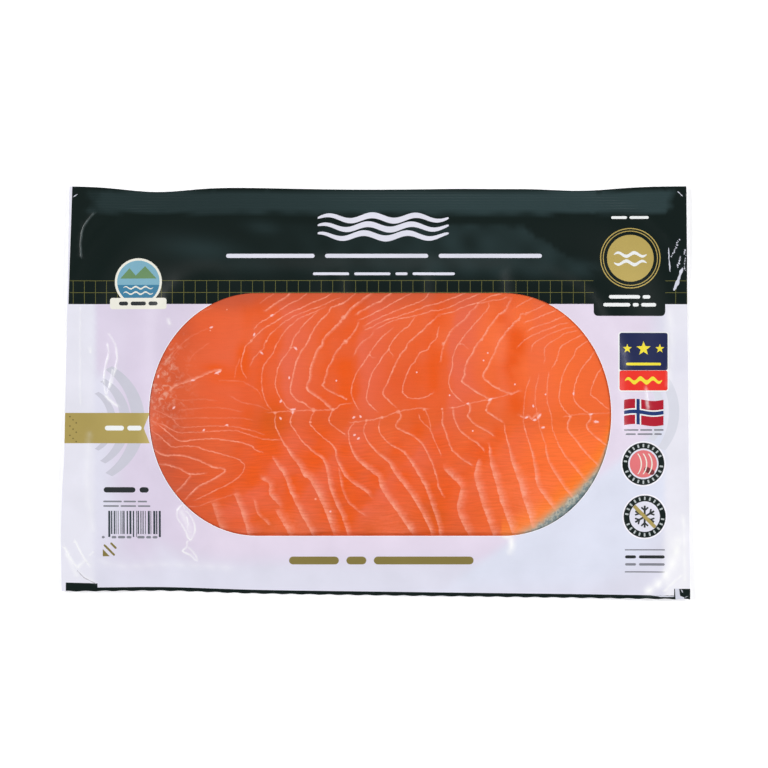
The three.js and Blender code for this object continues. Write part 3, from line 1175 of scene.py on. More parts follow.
flesh = {
    "grid": 2.0,  # spacing of the mesh's inner points
    "halfWidth": 0.14,  # of a thin fat line
    "swollen": 0.25,  # added to it where a line swells, low in the pack
    "crisp": 0.25,  # a line's left side ends over this distance
    "soft": 0.35,  # and its right side over this much, or more where it swells
    "softSwollen": 4.2,
    "softCore": 0.35,  # share of the soft side that is still fairly pale
    "step": 0.9,  # spacing of the points along a line
    "ragged": 0.17,
    "muchSwollen": 0.3,  # a line that swells this much or more does so only low down
    "swollenFrom": (20, 43),  # and reaches its full width between these depths
    "knotRim": (0.5, 1.2),  # a knot fades out between these shares of its radius
    "glintRim": (0.6, 1.3),
    "lift": 0.02,  # added for each slice beneath, so that no two share a surface
    "solidShare": 0.9,  # a slice's underside stands off the next one by the rest
    "thinnest": 0.05,
    "knots": [  # small pools of fat where lines meet: place and radius
        (-40, -8.8, 1.2), (-30, -8.2, 1.1), (-20.6, -8, 0.9), (-48.4, -9.5, 0.8), (-41, -14, 0.6),
        (-31.5, -14, 0.7), (-22.4, -13.2, 0.5), (-33.2, 2.4, 0.6), (-25.6, 3.8, 0.7), (-41, 1.7, 0.4),
        (-14.2, -3, 0.5), (-4.6, -13.2, 0.7), (2.8, -11.8, 0.8), (10.8, -9, 1.0), (23.2, -7.8, 0.8),
        (1.4, -16.6, 0.5), (9.6, -15.6, 0.4), (3.3, 0.2, 0.4), (12.8, 0.6, 0.6), (-4.5, -2.2, 0.4),
        (36.9, -7, 0.5), (44.8, -5.3, 0.8), (54.8, -3.2, 1.0), (65, -0.4, 0.8), (31.8, -7.7, 0.6),
        (41.2, 5.6, 0.5), (51.4, 8, 0.5), (44, -11, 0.5), (52.9, -8.2, 0.6), (40.2, 23.7, 0.7),
        (50.8, 25.6, 0.8), (6.2, 20.8, 0.5), (-41, 21.7, 0.7), (-59.8, 25, 0.7), (-52.6, 25, 0.6),
        (-50.3, 37.2, 0.5), (-3, 18.2, 0.5), (-14.6, 24.6, 1.2), (-15.6, 36.2, 1.1), (-17, 34.3, 0.8),
        (93.4, -11.2, 0.8), (102.8, -10.2, 0.8), (91.9, -16.4, 0.4), (101.2, -15.6, 0.5), (78.2, -11, 1.1),
        (76.4, -12.8, 0.7), (105.6, -13.8, 0.8), (-74.8, 10.8, 0.9), (-89.4, -38.9, 0.6), (-59, -26, 0.5),
        (32.4, 23.6, 0.8), (68.8, 35, 0.5), (48.8, 43.2, 0.5), (-29, -51, 0.6), (36.5, -39.6, 0.8),
        (-45.5, -4, 0.5), (-45.5, -12.2, 0.45), (-10.5, -11.5, 0.5), (-7.4, -11.6, 0.5), (-10.5, -20, 0.5),
        (-8.2, -22, 0.45), (-21.6, -56.8, 0.4), (80.5, -16.5, 0.6), (106.5, -14, 0.6), (-71.5, 40, 0.4),
        (-79.5, 30, 0.4), (-99, 17, 0.4), (-104, 0, 0.4), (-82.5, -18, 0.4), (-71, -16, 0.4),
    ],
    "deepSpots": [  # patches of stronger orange: place, reaches
        (-49, -14, 7, 9), (-59, -39, 4, 7), (-14, 3, 6, 10), (-14, -41, 5, 10), (-31, -33, 8, 6),
        (-15, -62, 7, 6), (-42, -60, 5, 8), (25, 10, 6, 10), (28, -58, 6, 12), (30, -24, 7, 7),
        (68, 22, 5, 7), (66, -6, 5, 6), (-64, 14, 4, 9), (-72, 8, 9, 4), (14, -40, 5, 6), (-78, 12.5, 6, 2),
        (-48, -28, 5, 5), (-15, -27, 5, 5), (49, -27, 5, 5),
    ],
    "brownSpots": [  # place, reaches, share
        (-49, -14, 8, 8, 0.8), (-26, -52, 9, 8, 0.25), (28, -58, 5, 9, 0.6),
    ],
    "haze": [  # pale low down: place, reach, start, share
        (-40, 12, 50, 0.13), (8, 12, 48, 0.12), (74, 12, 34, 0.12),
    ],
    "tones": [  # each laid over the ones before it
        ("warmth", "#ff7637"), ("paleness", "#ea6a4a"), ("deepOrange", "#ed5b18"),
        ("footTone", "#db5a1a"), ("paintedShade", "#ce5836"), ("belly", "#ff8026"), ("greying", "#c2a07c"),
    ],
    "glintWidth": 0.42,
    "glints": [  # place, half length, turn
        (-45.6, -3.9, 0.9, 60), (-39.7, -7.9, 1.4, 5), (-39.9, -9.3, 0.8, 80), (-45.8, -12.2, 0.8, -60),
        (-10.6, -11.8, 0.8, 30), (-7.4, -11.3, 0.7, -50), (-10.2, -20.2, 0.7, 30), (-8.4, -21.8, 0.8, 40),
        (-97, -7.1, 0.9, 45), (-82.6, -17.8, 0.7, 40), (-71.5, -15.4, 0.7, 15), (-58.4, 28, 0.9, 70),
        (-75.9, 9.9, 1.7, 25), (-87.8, 6.1, 0.9, 0), (-54.8, 19.2, 0.9, -45), (-21.9, -57, 0.45, 0),
        (-41.6, 7.3, 0.7, 90), (-38.5, 21.4, 0.9, -40), (-50, 37.2, 0.8, 40), (75.6, -6.3, 0.7, -80),
        (78.4, -11.2, 1.5, 50), (76.3, -13, 0.9, 10), (72.4, -11.8, 1.0, 25), (80.3, -16.6, 0.9, 10),
        (105.8, -13.8, 1.4, 0), (94.9, -0.3, 0.8, 90), (103.4, -10.2, 0.8, 20), (54.9, -3.1, 1.2, 30),
        (44.1, -5.1, 0.6, 10), (-104.5, 8, 0.8, 80), (-102, 20, 0.6, 30), (-79, 31.5, 0.9, 20),
        (-19, 5.9, 0.4, 0), (19.6, 9.9, 0.4, 0), (46.5, -18.2, 0.4, 0), (35.4, -1.1, 0.4, 0),
        (51.7, 15.6, 0.4, 0), (53.7, 19.2, 0.4, 0), (66.8, 4.1, 0.4, 0), (81.5, -0.7, 0.4, 0),
    ],
    "skinEdge": [
        (66, -71), (70, -68), (76, -64.5), (81.5, -60.5), (86.5, -56), (89.5, -53.5), (96, -48),
        (101, -42.5), (105, -38.5), (108, -34), (110.5, -28), (113, -20),
    ],
}

# each fat line from top to bottom, with its strength and how much it swells
fatLines = [
    # tail piece
    (0.9, 0.2, [(-99, 1), (-96, 3.5), (-90, 5.5), (-86, 7), (-81.5, 9), (-77.5, 10.5), (-74.5, 11)]),
    (0.3, 0, [(-75.5, 6), (-71, 6), (-64.5, 5.6), (-60, 3.3), (-56.5, 0.8), (-54.8, -2.5)]),
    (0.25, 0, [(-104, 13), (-99, 17.5), (-95, 22), (-88, 27.5), (-80.5, 31)]),
    (0.2, 0, [(-92, 34), (-85, 38.5), (-78, 41)]),
    (0.25, 0, [(-101.5, 0), (-97, -2.5), (-92, -3.5), (-84, -3), (-76, -3.8)]),
    (0.3, 0, [(-67.8, 7), (-67.5, 10), (-66.2, 14), (-65.3, 17)]),
    (0.3, 0, [(-70, -1.5), (-64, -4.5), (-57, -6), (-51, -8.5)]),
    (0.25, 0, [(-95, -8.5), (-87, -7.5), (-79, -7), (-72, -7.5), (-64, -9)]),
    (0.25, 0, [(-103, -8), (-99, -11), (-95, -12.5), (-89.5, -12), (-77.5, -12), (-65.5, -12),
               (-59, -13)]),
    (0.5, 0, [(-107.5, -7.5), (-102, -10), (-98, -12), (-95, -15.5), (-92, -16.5), (-81.5, -16),
              (-70.5, -16), (-61.5, -17.5), (-53.5, -20)]),
    (0.6, 0, [(-107.5, -13.5), (-105, -14.5), (-101.5, -15.5), (-98, -17.5), (-94.5, -19), (-88, -19),
              (-79, -18.5), (-68.5, -18), (-62.5, -19.5), (-54.5, -22), (-45.5, -22.5)]),
    (0.9, 0, [(-105, -15), (-101.5, -17.5), (-98, -20.5), (-93.5, -23), (-87, -22.5), (-79, -22),
              (-69.5, -23), (-64, -24), (-59.5, -25.5), (-57.5, -27.5), (-54, -28.5)]),
    (0.8, 0, [(-108, -18), (-103.5, -21), (-100.5, -24), (-97, -26), (-91, -25.5), (-85.5, -26),
              (-81.5, -27.5), (-73.5, -29.5), (-67, -31.5), (-64, -33.5), (-63, -35.5), (-65, -39.5),
              (-70.5, -43.5), (-78.5, -47.5), (-87, -51.5)]),
    (1.0, 0.1, [(-107, -27), (-101.5, -30), (-95, -30), (-89.5, -31), (-84, -33), (-78.5, -35.5),
                (-72.5, -36.7), (-75, -39.5), (-81.5, -43), (-86, -45.5), (-92, -51.5)]),
    (0.8, 0.1, [(-104.5, -34), (-99, -35), (-94, -36.5), (-89.5, -39), (-82, -38.7)]),
    (0.8, 0.1, [(-88.5, -39), (-92, -43.5), (-96, -47.5)]),
    (0.35, 0, [(-93, -54), (-85.5, -54.5), (-79, -52), (-69, -49)]),
    (0.2, 0, [(-80, 24), (-87, 19), (-89.5, 15.5)]),
    (0.2, 0, [(-93, 23), (-97, 18), (-100, 12)]),
    # second slice, above its middle line
    (0.45, 0.4, [(-48.5, 48), (-50, 47), (-52.5, 45.5), (-56, 43)]),
    (0.9, 0.1, [(-41, 48), (-44, 45.5), (-47.5, 43.5), (-51, 41), (-53.5, 39.5)]),
    (0.85, 0, [(-33, 48), (-36.5, 45), (-41, 43), (-45, 40.5), (-48.5, 38), (-50.5, 37.3), (-51.5, 36),
               (-54.5, 34.5), (-56.5, 33), (-58.5, 30.5)]),
    (0.9, 0, [(-21, 48), (-24, 46), (-29, 44), (-32.5, 42.5), (-36.5, 40.5), (-39, 39.5), (-44, 37),
              (-48.5, 34), (-53, 31.5), (-56, 29), (-58.5, 26.5), (-60, 24.5), (-62.5, 22.5),
              (-63.5, 19), (-64.5, 15), (-64.5, 12), (-63.5, 9.5), (-62, 7)]),
    (0.7, 0, [(-17.5, 45.5), (-20.5, 44.5), (-24.5, 42.5), (-28, 41), (-31.5, 40), (-35.5, 38.5),
              (-39, 37), (-42.5, 35), (-45.5, 33), (-48.5, 30), (-51, 28), (-52.5, 25), (-53.5, 23.5),
              (-54, 21), (-55.5, 20), (-57.5, 18), (-59, 16), (-60.5, 12.5)]),
    (0.7, 0, [(-24.5, 41), (-27, 40), (-31.5, 38), (-36.5, 36), (-39.5, 33.5), (-42.5, 31),
              (-44.5, 28.5), (-46, 26), (-48, 23), (-48.5, 21.5), (-49.5, 19), (-51.5, 16.5),
              (-53, 14.5), (-54.2, 12), (-54.8, 9), (-54.8, 5.5), (-54.5, 1), (-53, -4), (-50, -8.5)]),
    (0.8, 0, [(-28, 39), (-32.5, 35), (-35, 32.5), (-37, 29.5), (-39, 27), (-40, 25), (-41, 21.5),
              (-43, 18.5), (-45, 16), (-46, 14), (-47, 12), (-47.6, 9), (-48.3, 5), (-47.6, 1),
              (-45.5, -3), (-42.5, -7), (-40, -8.6)]),
    (1.0, 0.05, [(-10, 47.5), (-14.5, 44), (-17.5, 42.5), (-21.5, 41), (-22.5, 39), (-24.5, 37),
                 (-26.5, 35), (-28.5, 32.5), (-30.5, 29.5), (-31.5, 27.5), (-32.5, 25), (-34, 22.5),
                 (-35.5, 20.5), (-36.5, 18.5), (-38, 15.5), (-39, 12), (-40, 7.5), (-41.2, 1.7),
                 (-39.5, -2), (-37, -4), (-34.5, -5), (-30, -8.4)]),
    (1.0, 0.2, [(-2, 48), (-4.5, 46.5), (-7.5, 44), (-10, 42.5), (-12.3, 40.5), (-14, 38),
                (-15.5, 36.5), (-17, 34.5), (-20, 31.5), (-22, 29.5), (-24, 27.5), (-25.5, 25.5),
                (-26, 23), (-28, 21), (-29, 19), (-29.7, 16.7), (-31, 13.5), (-31.5, 11), (-31.8, 7.5),
                (-33.3, 2.5), (-31, 0), (-25.5, -4), (-21, -8.3)]),
    (0.9, 0.1, [(-8.3, 34), (-9.5, 31), (-11, 29), (-12.5, 27), (-14.5, 25), (-16.5, 23), (-18, 21),
                (-20, 18.5), (-21, 15.5), (-23, 12.5), (-23.5, 10.5), (-25, 5), (-25.7, 3.7),
                (-23.5, 1.5), (-19.5, -0.5), (-14, -3)]),
    (0.5, 0, [(-41, 21.5), (-39.5, 22), (-38, 20.5)]),
    (0.4, 0, [(-55.5, 20), (-54.5, 18.5)]),
    # middle line of the second slice and the lines below it
    (0.7, 0, [(-52, -9.5), (-44, -8.8), (-38, -8.6), (-30, -8.2), (-20.5, -8), (-17, -5.8), (-12, -5)]),
    (0.6, 1, [(-78.5, -53), (-76.5, -59), (-74.5, -64.5), (-72.5, -69)]),
    (0.85, 0.7, [(-68, -48.5), (-66.5, -51.5), (-64.5, -56.5), (-62.5, -63), (-61, -69)]),
    (0.6, 0.3, [(-58.5, -51.5), (-57.5, -55.5), (-56, -59), (-53.5, -61), (-51, -63.5)]),
    (0.85, 0.6, [(-55, -41), (-51, -43.5), (-50.8, -48.5), (-47.5, -52.5), (-46, -54.5)]),
    (0.7, 1, [(-48, -56.5), (-44, -63), (-41, -69)]),
    (0.9, 0.6, [(-49.6, -30.5), (-47, -35), (-44, -39), (-42.8, -42), (-41, -47.5), (-38.5, -52.5),
                (-35.5, -58.5), (-33, -63), (-30, -69)]),
    (0.95, 1, [(-48, -10), (-48.4, -15), (-45.5, -22), (-43, -26), (-40.5, -30), (-37, -34.5),
               (-34.5, -39.3), (-32, -41), (-30, -44), (-26.5, -51), (-23.5, -58), (-20, -68)]),
    (0.9, 0.5, [(-39.3, -9), (-41.2, -14), (-38.5, -18.5), (-35, -23.5), (-29.7, -28.5), (-25.3, -32),
                (-23.3, -38), (-21.7, -46), (-18.5, -54), (-15.5, -61), (-13, -69)]),
    (0.9, 0.4, [(-29.7, -8.7), (-31.7, -14), (-29, -18), (-24.5, -22), (-20, -26), (-19, -31),
                (-17, -35.5), (-14, -40.5), (-9, -44.5), (-4.5, -47.5), (-2, -50.5)]),
    (0.6, 0.2, [(-18, -36), (-16.2, -45.5), (-13.8, -51.5), (-10, -55.5), (-5, -59)]),
    (0.8, 0, [(-20.9, -8.4), (-22.5, -13.4), (-19, -17), (-14.6, -20)]),
    # third slice
    (0.9, 0.1, [(7.5, 48), (4.5, 46), (2, 44), (-1.5, 42.5), (-5, 40.5), (-9.5, 38)]),
    (0.9, 0, [(17, 48), (13.5, 46), (9.5, 44), (4.5, 41), (-0.5, 38.5), (-5, 36.3), (-8.3, 35)]),
    (0.85, 0, [(25.5, 48), (24, 45.5), (21.5, 44), (17.5, 42.5), (13.5, 41), (9, 39.3), (5, 37.5),
               (1.5, 36), (-1.5, 34.5), (-5, 32.5)]),
    (0.85, 0, [(44, 48.5), (38, 46), (34, 44.5), (29.5, 43), (25, 42), (21, 40.3), (17, 38.8),
               (13.5, 37.8), (10, 36.5), (6, 35.3), (1, 33.3), (-2, 31.5), (-5.5, 30.3)]),
    (0.75, 0, [(50.5, 48), (45, 45.6), (42, 44.4), (38, 42.4), (34.5, 41), (30, 39.6), (27, 39.6),
               (24.5, 38.6), (21, 37.6), (17, 36.6), (13.5, 36), (9.5, 35), (6.5, 34), (3.5, 32.5),
               (0, 30.5)]),
    (0.5, 0.1, [(-1.3, 29), (-3, 27), (-6, 25), (-8, 23), (-9.5, 20.5), (-10.5, 18)]),
    (0.85, 0, [(8, 31), (5, 28.5), (2.5, 26.5), (0.5, 24), (-1.8, 21), (-3.3, 18.2), (-5.3, 15.5),
               (-6.8, 13.2), (-8.5, 11), (-10.5, 6.5), (-11.8, 1), (-10.6, -4), (-8.2, -8)]),
    (0.95, 0, [(18.5, 36.3), (17, 34), (15.5, 32), (13, 30.3), (10.8, 28.3), (8.8, 26), (7.5, 24),
               (6.5, 22.3), (6, 20.5), (3.5, 18), (1.5, 14.5), (-1.8, 9.7), (-3.4, 4), (-4.6, -2.3),
               (-2.6, -6), (0.5, -8.7)]),
    (1.0, 0.05, [(29.5, 37), (27.5, 35), (26, 33.5), (24, 32.3), (23, 30.5), (20.5, 28.5), (18, 26.3),
                 (15.5, 24), (14, 21), (11.8, 18.7), (10.5, 16), (9.5, 14), (8, 11), (5.5, 5),
                 (3.3, 0), (5.3, -3), (10, -7)]),
    (0.9, 0, [(30.5, 32), (29.7, 29), (29, 26.3), (26.7, 24), (25, 21.2), (23.6, 20.2), (21.6, 19.7),
              (20, 17.5), (18.6, 15), (16.5, 12.5), (14, 6.5), (12.7, 1), (14, -1), (17, -2.7),
              (22.5, -2.3), (27.5, 0)]),
    (0.5, 0, [(-3.3, 18.2), (-1.5, 17), (-0.5, 17)]),
    (0.5, 0, [(6, 20.5), (7.5, 19), (8.3, 17.5)]),
    (0.7, 0, [(-12.5, -14.2), (-4.6, -13.3), (3, -11.8), (11, -9), (19.5, -7.5), (25.5, -7.6)]),
    (0.95, 0.7, [(-10.6, -14.5), (-13, -18), (-12.6, -24), (-10.6, -29.5), (-7.4, -33.3),
                 (-2.6, -37.3), (1.3, -40.2), (2.5, -45), (6, -51), (10.5, -57), (18, -68)]),
    (0.95, 0.6, [(-4.6, -14), (-5.8, -18), (-3.4, -24), (1.5, -29.5), (6, -33), (9.2, -38.5),
                 (14, -44.5), (18.5, -51), (22, -57), (26, -65), (27, -69)]),
    (0.9, 0.5, [(2.2, -12.5), (1.3, -17), (3.7, -21.5), (7.5, -25.2), (11.5, -27), (14.7, -30),
                (18.5, -35.7), (21.8, -41.3), (25, -47.7), (27.4, -55), (29.8, -62), (31, -69)]),
    (0.85, 0.1, [(10.7, -9), (12, -11), (9.5, -15.8), (13, -18.5), (17.8, -20.6), (21.8, -24),
                 (25, -29.5), (27.4, -35), (29.4, -41.3), (30, -45), (32.5, -49.5)]),
    (0.7, 0, [(20.5, -10.5), (21.8, -13.4), (25.8, -17.4), (28.2, -23), (31.4, -30)]),
    (0.6, 0, [(23.4, -8), (25, -11), (26.6, -18)]),
    # fourth slice
    (0.8, 0, [(60.5, 47.5), (57, 47), (54, 46), (51.5, 44.5), (49, 43.5), (44.5, 42), (40.5, 40.6),
              (37, 39), (31.5, 37.8)]),
    (0.75, 0.1, [(49, 43), (47.5, 41), (45.5, 39.3), (43.5, 36.5), (41.5, 34.5), (39, 32.6),
                 (36.5, 30.5), (34.5, 27.3), (33.2, 24.5), (32.4, 22.5), (31.4, 18.7), (31, 15)]),
    (0.9, 0, [(54, 43.3), (54.2, 41.5), (53, 39.3), (51.5, 37.8), (49.5, 35.5), (47.3, 33.3),
              (45.5, 31), (43.3, 28.5), (41.3, 26), (40, 23.8), (38.8, 22.3), (37.5, 19), (36.8, 16),
              (36.5, 12), (35, 6.5), (35.8, 1.7), (39.3, -2.3), (42, -4.5)]),
    (1.0, 0.1, [(64.5, 44.5), (63.4, 42.4), (62.4, 40.3), (60.5, 38.5), (59, 37.8), (57.4, 35.8),
                (55.6, 33.3), (54, 31.5), (53, 29.3), (51.6, 27.3), (50.5, 25.5), (48.8, 24),
                (47.3, 21.5), (46, 18.7), (44.3, 16.5), (43.3, 14), (42.6, 11), (42.5, 9), (41.3, 5.7),
                (44, 3.3), (49, 0), (53, -2.3), (55, -3)]),
    (1.0, 0.1, [(74, 39), (72, 38), (69.7, 38), (68.7, 35.5), (66.5, 34), (65, 32), (62.7, 29.8),
                (61.2, 27.5), (59.4, 25.3), (58.4, 23), (57.4, 20.7), (56.6, 18.5), (55, 16),
                (54, 13.5), (53, 11.5), (51.3, 8), (53.7, 5.3), (57.6, 2.5), (64.8, -0.3), (69, 1)]),
    (0.5, 0, [(40.5, 23.8), (43, 22.5), (44.5, 21)]),
    (0.6, 0, [(63, 46), (59.5, 44.7), (55.5, 44.4), (50, 43)]),
    (0.7, 0.3, [(76, 46), (71, 43.5), (67, 41)]),
    (0.7, 0, [(35, -7.2), (39, -6.8), (45, -5), (50, -4), (55, -3), (61, -1.5), (65, -0.3)]),
    (0.85, 0.1, [(31.8, -7.5), (32.2, -10.5), (31.8, -14), (33.8, -20), (35.8, -26), (37.7, -28.6),
                 (42.5, -32.5), (46.5, -35)]),
    (0.85, 0.9, [(32.6, -35.7), (36, -39.7), (41, -45), (40, -51), (39.7, -56.5), (41.7, -62),
                 (45.5, -69)]),
    (0.9, 0.1, [(36.9, -7.2), (37.3, -11), (39.3, -16.5), (43.3, -20.6), (49, -24.6), (52.1, -28)]),
    (0.9, 0.9, [(49.5, -32), (47.7, -39.7), (49.7, -47), (52, -55), (54.5, -62), (57, -69)]),
    (0.9, 0.1, [(44.9, -5), (44.9, -8.7), (44.1, -11), (47.3, -15), (53, -18.2), (56.8, -20.8)]),
    (0.95, 0.9, [(54.5, -25), (55.3, -34), (57.6, -42), (60, -51), (62.5, -58), (66.5, -69)]),
    (0.9, 0.1, [(54.8, -3.5), (52.9, -8.3), (56.8, -11.4), (61, -14)]),
    (0.95, 0.9, [(61.6, -14.5), (62.4, -20), (64, -26), (65.6, -33.3), (68.8, -42), (71.2, -51),
                 (73.6, -58), (76, -66)]),
    # last slice
    (0.8, 0, [(81, 42.3), (77, 40.3), (71.5, 38)]),
    (0.8, 0, [(86.5, 39.7), (83, 38.3), (78.5, 36.6), (75, 35), (71.5, 34)]),
    (0.75, 0, [(91, 37.2), (87, 35.5), (83, 33.8), (77, 32), (73, 30)]),
    (0.7, 0, [(92.6, 33.8), (88.4, 33), (84.2, 31.2), (80, 29.6), (75.7, 27.9), (71.5, 25.3), (68, 22)]),
    (0.6, 0, [(96, 32), (91, 31), (87, 29.6), (83, 28), (78.5, 25.6), (75.7, 23.6), (74.5, 20)]),
    (0.6, 0, [(97, 30), (91, 28.7), (89, 27.3), (84.2, 24.5), (81.4, 22), (81, 19.4), (81.3, 16.6),
              (80.5, 14.6)]),
    (0.75, 0, [(99, 28), (95.5, 26.2), (92.4, 24.5), (89.5, 22.8), (88, 20.5), (87.5, 18), (86.4, 15),
               (84.5, 12)]),
    (0.85, 0, [(102, 25), (98.3, 22.8), (96, 20.5), (95, 17.4), (92.6, 14.6), (91, 11.5), (89.5, 7.5),
               (88.3, 1), (88, -3), (90.3, -8), (93.5, -11)]),
    (0.85, 0, [(105, 20), (103, 17), (101, 14.5), (98.7, 11.5), (96.8, 7.5), (95.3, 2.5), (95.2, -3),
               (98.2, -7), (102.5, -10)]),
    (0.85, 0, [(108.5, 12), (105.6, 7.8), (103, 0), (104, -1.5), (108, -4.7), (112, -8)]),
    (0.5, 0, [(74, 7.3), (72, 1), (71.2, -5.5), (70.8, -12), (71, -15)]),
    (0.5, 0, [(78.3, 9), (76.7, 1), (76.7, -5.5), (77.9, -11.8), (79, -17.4), (81.5, -24.6)]),
    (0.6, 0, [(83, 9.7), (82.3, 2.5), (82.3, -4), (84.3, -11), (84.7, -16.6), (87, -23)]),
    (0.8, 0.15, [(69, -10.8), (71.5, -12), (73, -11), (75, -12.5), (77, -10.5), (78.5, -9.5)]),
    (0.9, 0.5, [(71, -14.5), (72.8, -21.4), (75, -28.6), (76.7, -37.3), (77.5, -43.7), (81.5, -50),
                (87, -57)]),
    (0.85, 0.35, [(81.5, -24.6), (82.3, -31), (85.5, -37.3), (89.5, -43.7), (95, -50.5)]),
    (0.8, 0.3, [(87, -23), (90.3, -29.4), (95, -35), (101, -42.5)]),
    (0.9, 0.1, [(93.5, -11), (91.9, -16.6), (95, -21.4), (100.6, -28.6), (107, -35)]),
    (0.9, 0.1, [(103, -10), (103, -12.6), (101, -15.8), (103, -19), (107.8, -23), (112, -26)]),
    (0.45, 0, [(90, -11.5), (97, -10.3), (104, -10), (113, -9.5)]),
]


def sizeFatLines():
    # each line's points with its half width and the reach of its soft side there
    sized = []
    for strength, swell, path in fatLines:
        points = roundPath(path, flesh["step"], flesh["ragged"])
        count = np.arange(len(points))
        low = np.ones(len(points))
        if swell >= flesh["muchSwollen"]:
            low = smooth(-points[:, 1], *flesh["swollenFrom"])
        swelling = swell * low * np.random.uniform(0.85, 1.1, len(points))
        thin = flesh["halfWidth"] * np.random.uniform(0.5, 1.6, len(points))
        run = count / (len(points) - 1)
        ends = np.minimum(smooth(run, -0.05, 0.08), 1 - smooth(run, 0.93, 1.04))
        phases = [random.uniform(0, 6), random.uniform(0, 6)]
        patchy = 0.74 + 0.26 * np.sin(count * 0.7 + phases[0]) * np.sin(count * 0.23 + phases[1])
        half = thin + flesh["swollen"] * swelling
        soft = flesh["soft"] + flesh["softSwollen"] * swelling
        sized.append((points, half, soft, strength * ends * patchy))
    return sized


def fatShare(sized, x, y):
    # how much of the surface is fat at each point, from 0 to 1
    fat = np.zeros(len(x))
    for points, half, soft, strength in sized:
        (lowX, lowY), (highX, highY) = points.min(0) - 4, points.max(0) + 4
        near = np.flatnonzero((x > lowX) & (x < highX) & (y > lowY) & (y < highY))
        closest = np.full(len(near), 1e6)
        share = np.zeros(len(near))
        for k in range(len(points) - 1):
            (ax, ay), (bx, by) = points[k], points[k + 1]
            dx, dy = bx - ax, by - ay
            length = math.hypot(dx, dy)
            along = np.clip(((x[near] - ax) * dx + (y[near] - ay) * dy) / length ** 2, 0, 1)
            distance = np.hypot(x[near] - ax - along * dx, y[near] - ay - along * dy)
            side = np.sign(dx * (y[near] - ay) - dy * (x[near] - ax))
            width = mix(half[k], half[k + 1], along)
            fade = np.where(side > 0, mix(soft[k], soft[k + 1], along), flesh["crisp"])
            faded = (1 - np.clip((distance - width) / fade, 0, 1)) ** 2
            here = mix(strength[k], strength[k + 1], along) * faded
            share = np.where(distance < closest, here, share)
            closest = np.minimum(closest, distance)
        fat[near] = np.maximum(fat[near], share)
    solid, rim = flesh["knotRim"]
    for knotX, knotY, radius in flesh["knots"]:
        away = np.hypot(x - knotX, (y - knotY) * 1.2)
        fat = np.maximum(fat, 1 - smooth(away, radius * solid, radius * rim))
    return fat


def glintOutline(glint, scale):
    cx, cy, reach, turn = glint
    c, s = math.cos(math.radians(turn)), math.sin(math.radians(turn))
    oval = [(px * reach * scale, py * flesh["glintWidth"] * scale) for px, py in disc(0, 0, 1, 9)]
    return [(cx + px * c - py * s, cy + px * s + py * c) for px, py in oval]


def glintShare(x, y):
    # painted glints: small pale highlights where air and brine sit under the film
    share = np.zeros(len(x))
    for cx, cy, reach, turn in flesh["glints"]:
        c, s = math.cos(math.radians(turn)), math.sin(math.radians(turn))
        u, v = (x - cx) * c + (y - cy) * s, (y - cy) * c - (x - cx) * s
        away = np.hypot(u / reach, v / flesh["glintWidth"])
        share = np.maximum(share, 1 - smooth(away, *flesh["glintRim"]))
    return share


def edgeBlotch(number, x, y):
    return np.clip(0.45 + 1.1 * patches(x, y, 19, number + 90), 0, 1.2)


def deepShare(number, x, y):
    # the thin free edge lets the flesh below shine through, so the two tones run into each other
    deep = 0.3 * smooth(-y, 18, 50) * (1 - smooth(-y, 54, 64)) * (0.5 + patches(x, y, 16, 70))
    for place in flesh["deepSpots"]:
        deep = deep + 0.8 * spot(x, y, *place)
    if number < len(slices) - 1:
        uneven = insideSlice(slices[number], x, y) + 5 * patches(x, y, 11, number + 50)
        rising = mix(0.45, 1.05, smooth(uneven, 0, 6))
        deep = deep + rising * (1 - smooth(uneven, 5, 20)) * edgeBlotch(number, x, y)
    if number > 0:
        over = -insideSlice(slices[number - 1], x, y)
        deep = deep + 0.45 * (1 - smooth(over, 0, 4)) * edgeBlotch(number - 1, x, y)
    return deep


def paleShare(number, x, y):
    # a slice is paler beside the one that lies on it
    pale = np.zeros(len(x))
    if number > 0:
        over = -insideSlice(slices[number - 1], x, y)
        uneven = 0.8 + 0.4 * patches(x, y, 15, number + 30)
        pale = smooth(over, 1, 5) * (1 - smooth(over, 8, 22)) * uneven
        pale = pale * (0.35 if number == len(slices) - 1 else 1)
    return pale + 0.3 * spot(x, y, 58, 27, 28, 18) + 0.4 * spot(x, y, -70, 14, 22, 20)


def warmShare(x, y):
    warm = smooth(x, 25, 100) * (0.45 + 0.55 * smooth(-y, 0, 30))
    return warm + 0.8 * spot(x, y, 58, 27, 28, 18) + 0.3 * spot(x, y, 82, 2, 14, 18)


# painted shade: the flesh is darker along the top of the window and towards its left end, where the film
# rises off the fish
def paintedShadeShare(x, y):
    dim = 0.95 * smooth(y, 37, 50) * (1 - 0.7 * smooth(x, 20, 70))
    dim = dim + 0.25 * (1 - smooth(x, -75, -55)) * smooth(-y, 4, 30)
    dim = dim + 0.6 * bell(x, -72, 14) * smooth(y, 34, 45)
    return dim + (1 - smooth(x, -104, -74)) * (0.75 + 0.5 * patches(x, y, 18, 12))


def brownShare(x, y):
    brown = smooth(-y, 46, 66) * (0.28 + 0.4 * patches(x, y, 20, 5))
    brown = brown + 0.3 * bell(y, -13, 6) * smooth(x, -75, -50)
    for *place, most in flesh["brownSpots"]:
        brown = brown + most * spot(x, y, *place)
    return brown


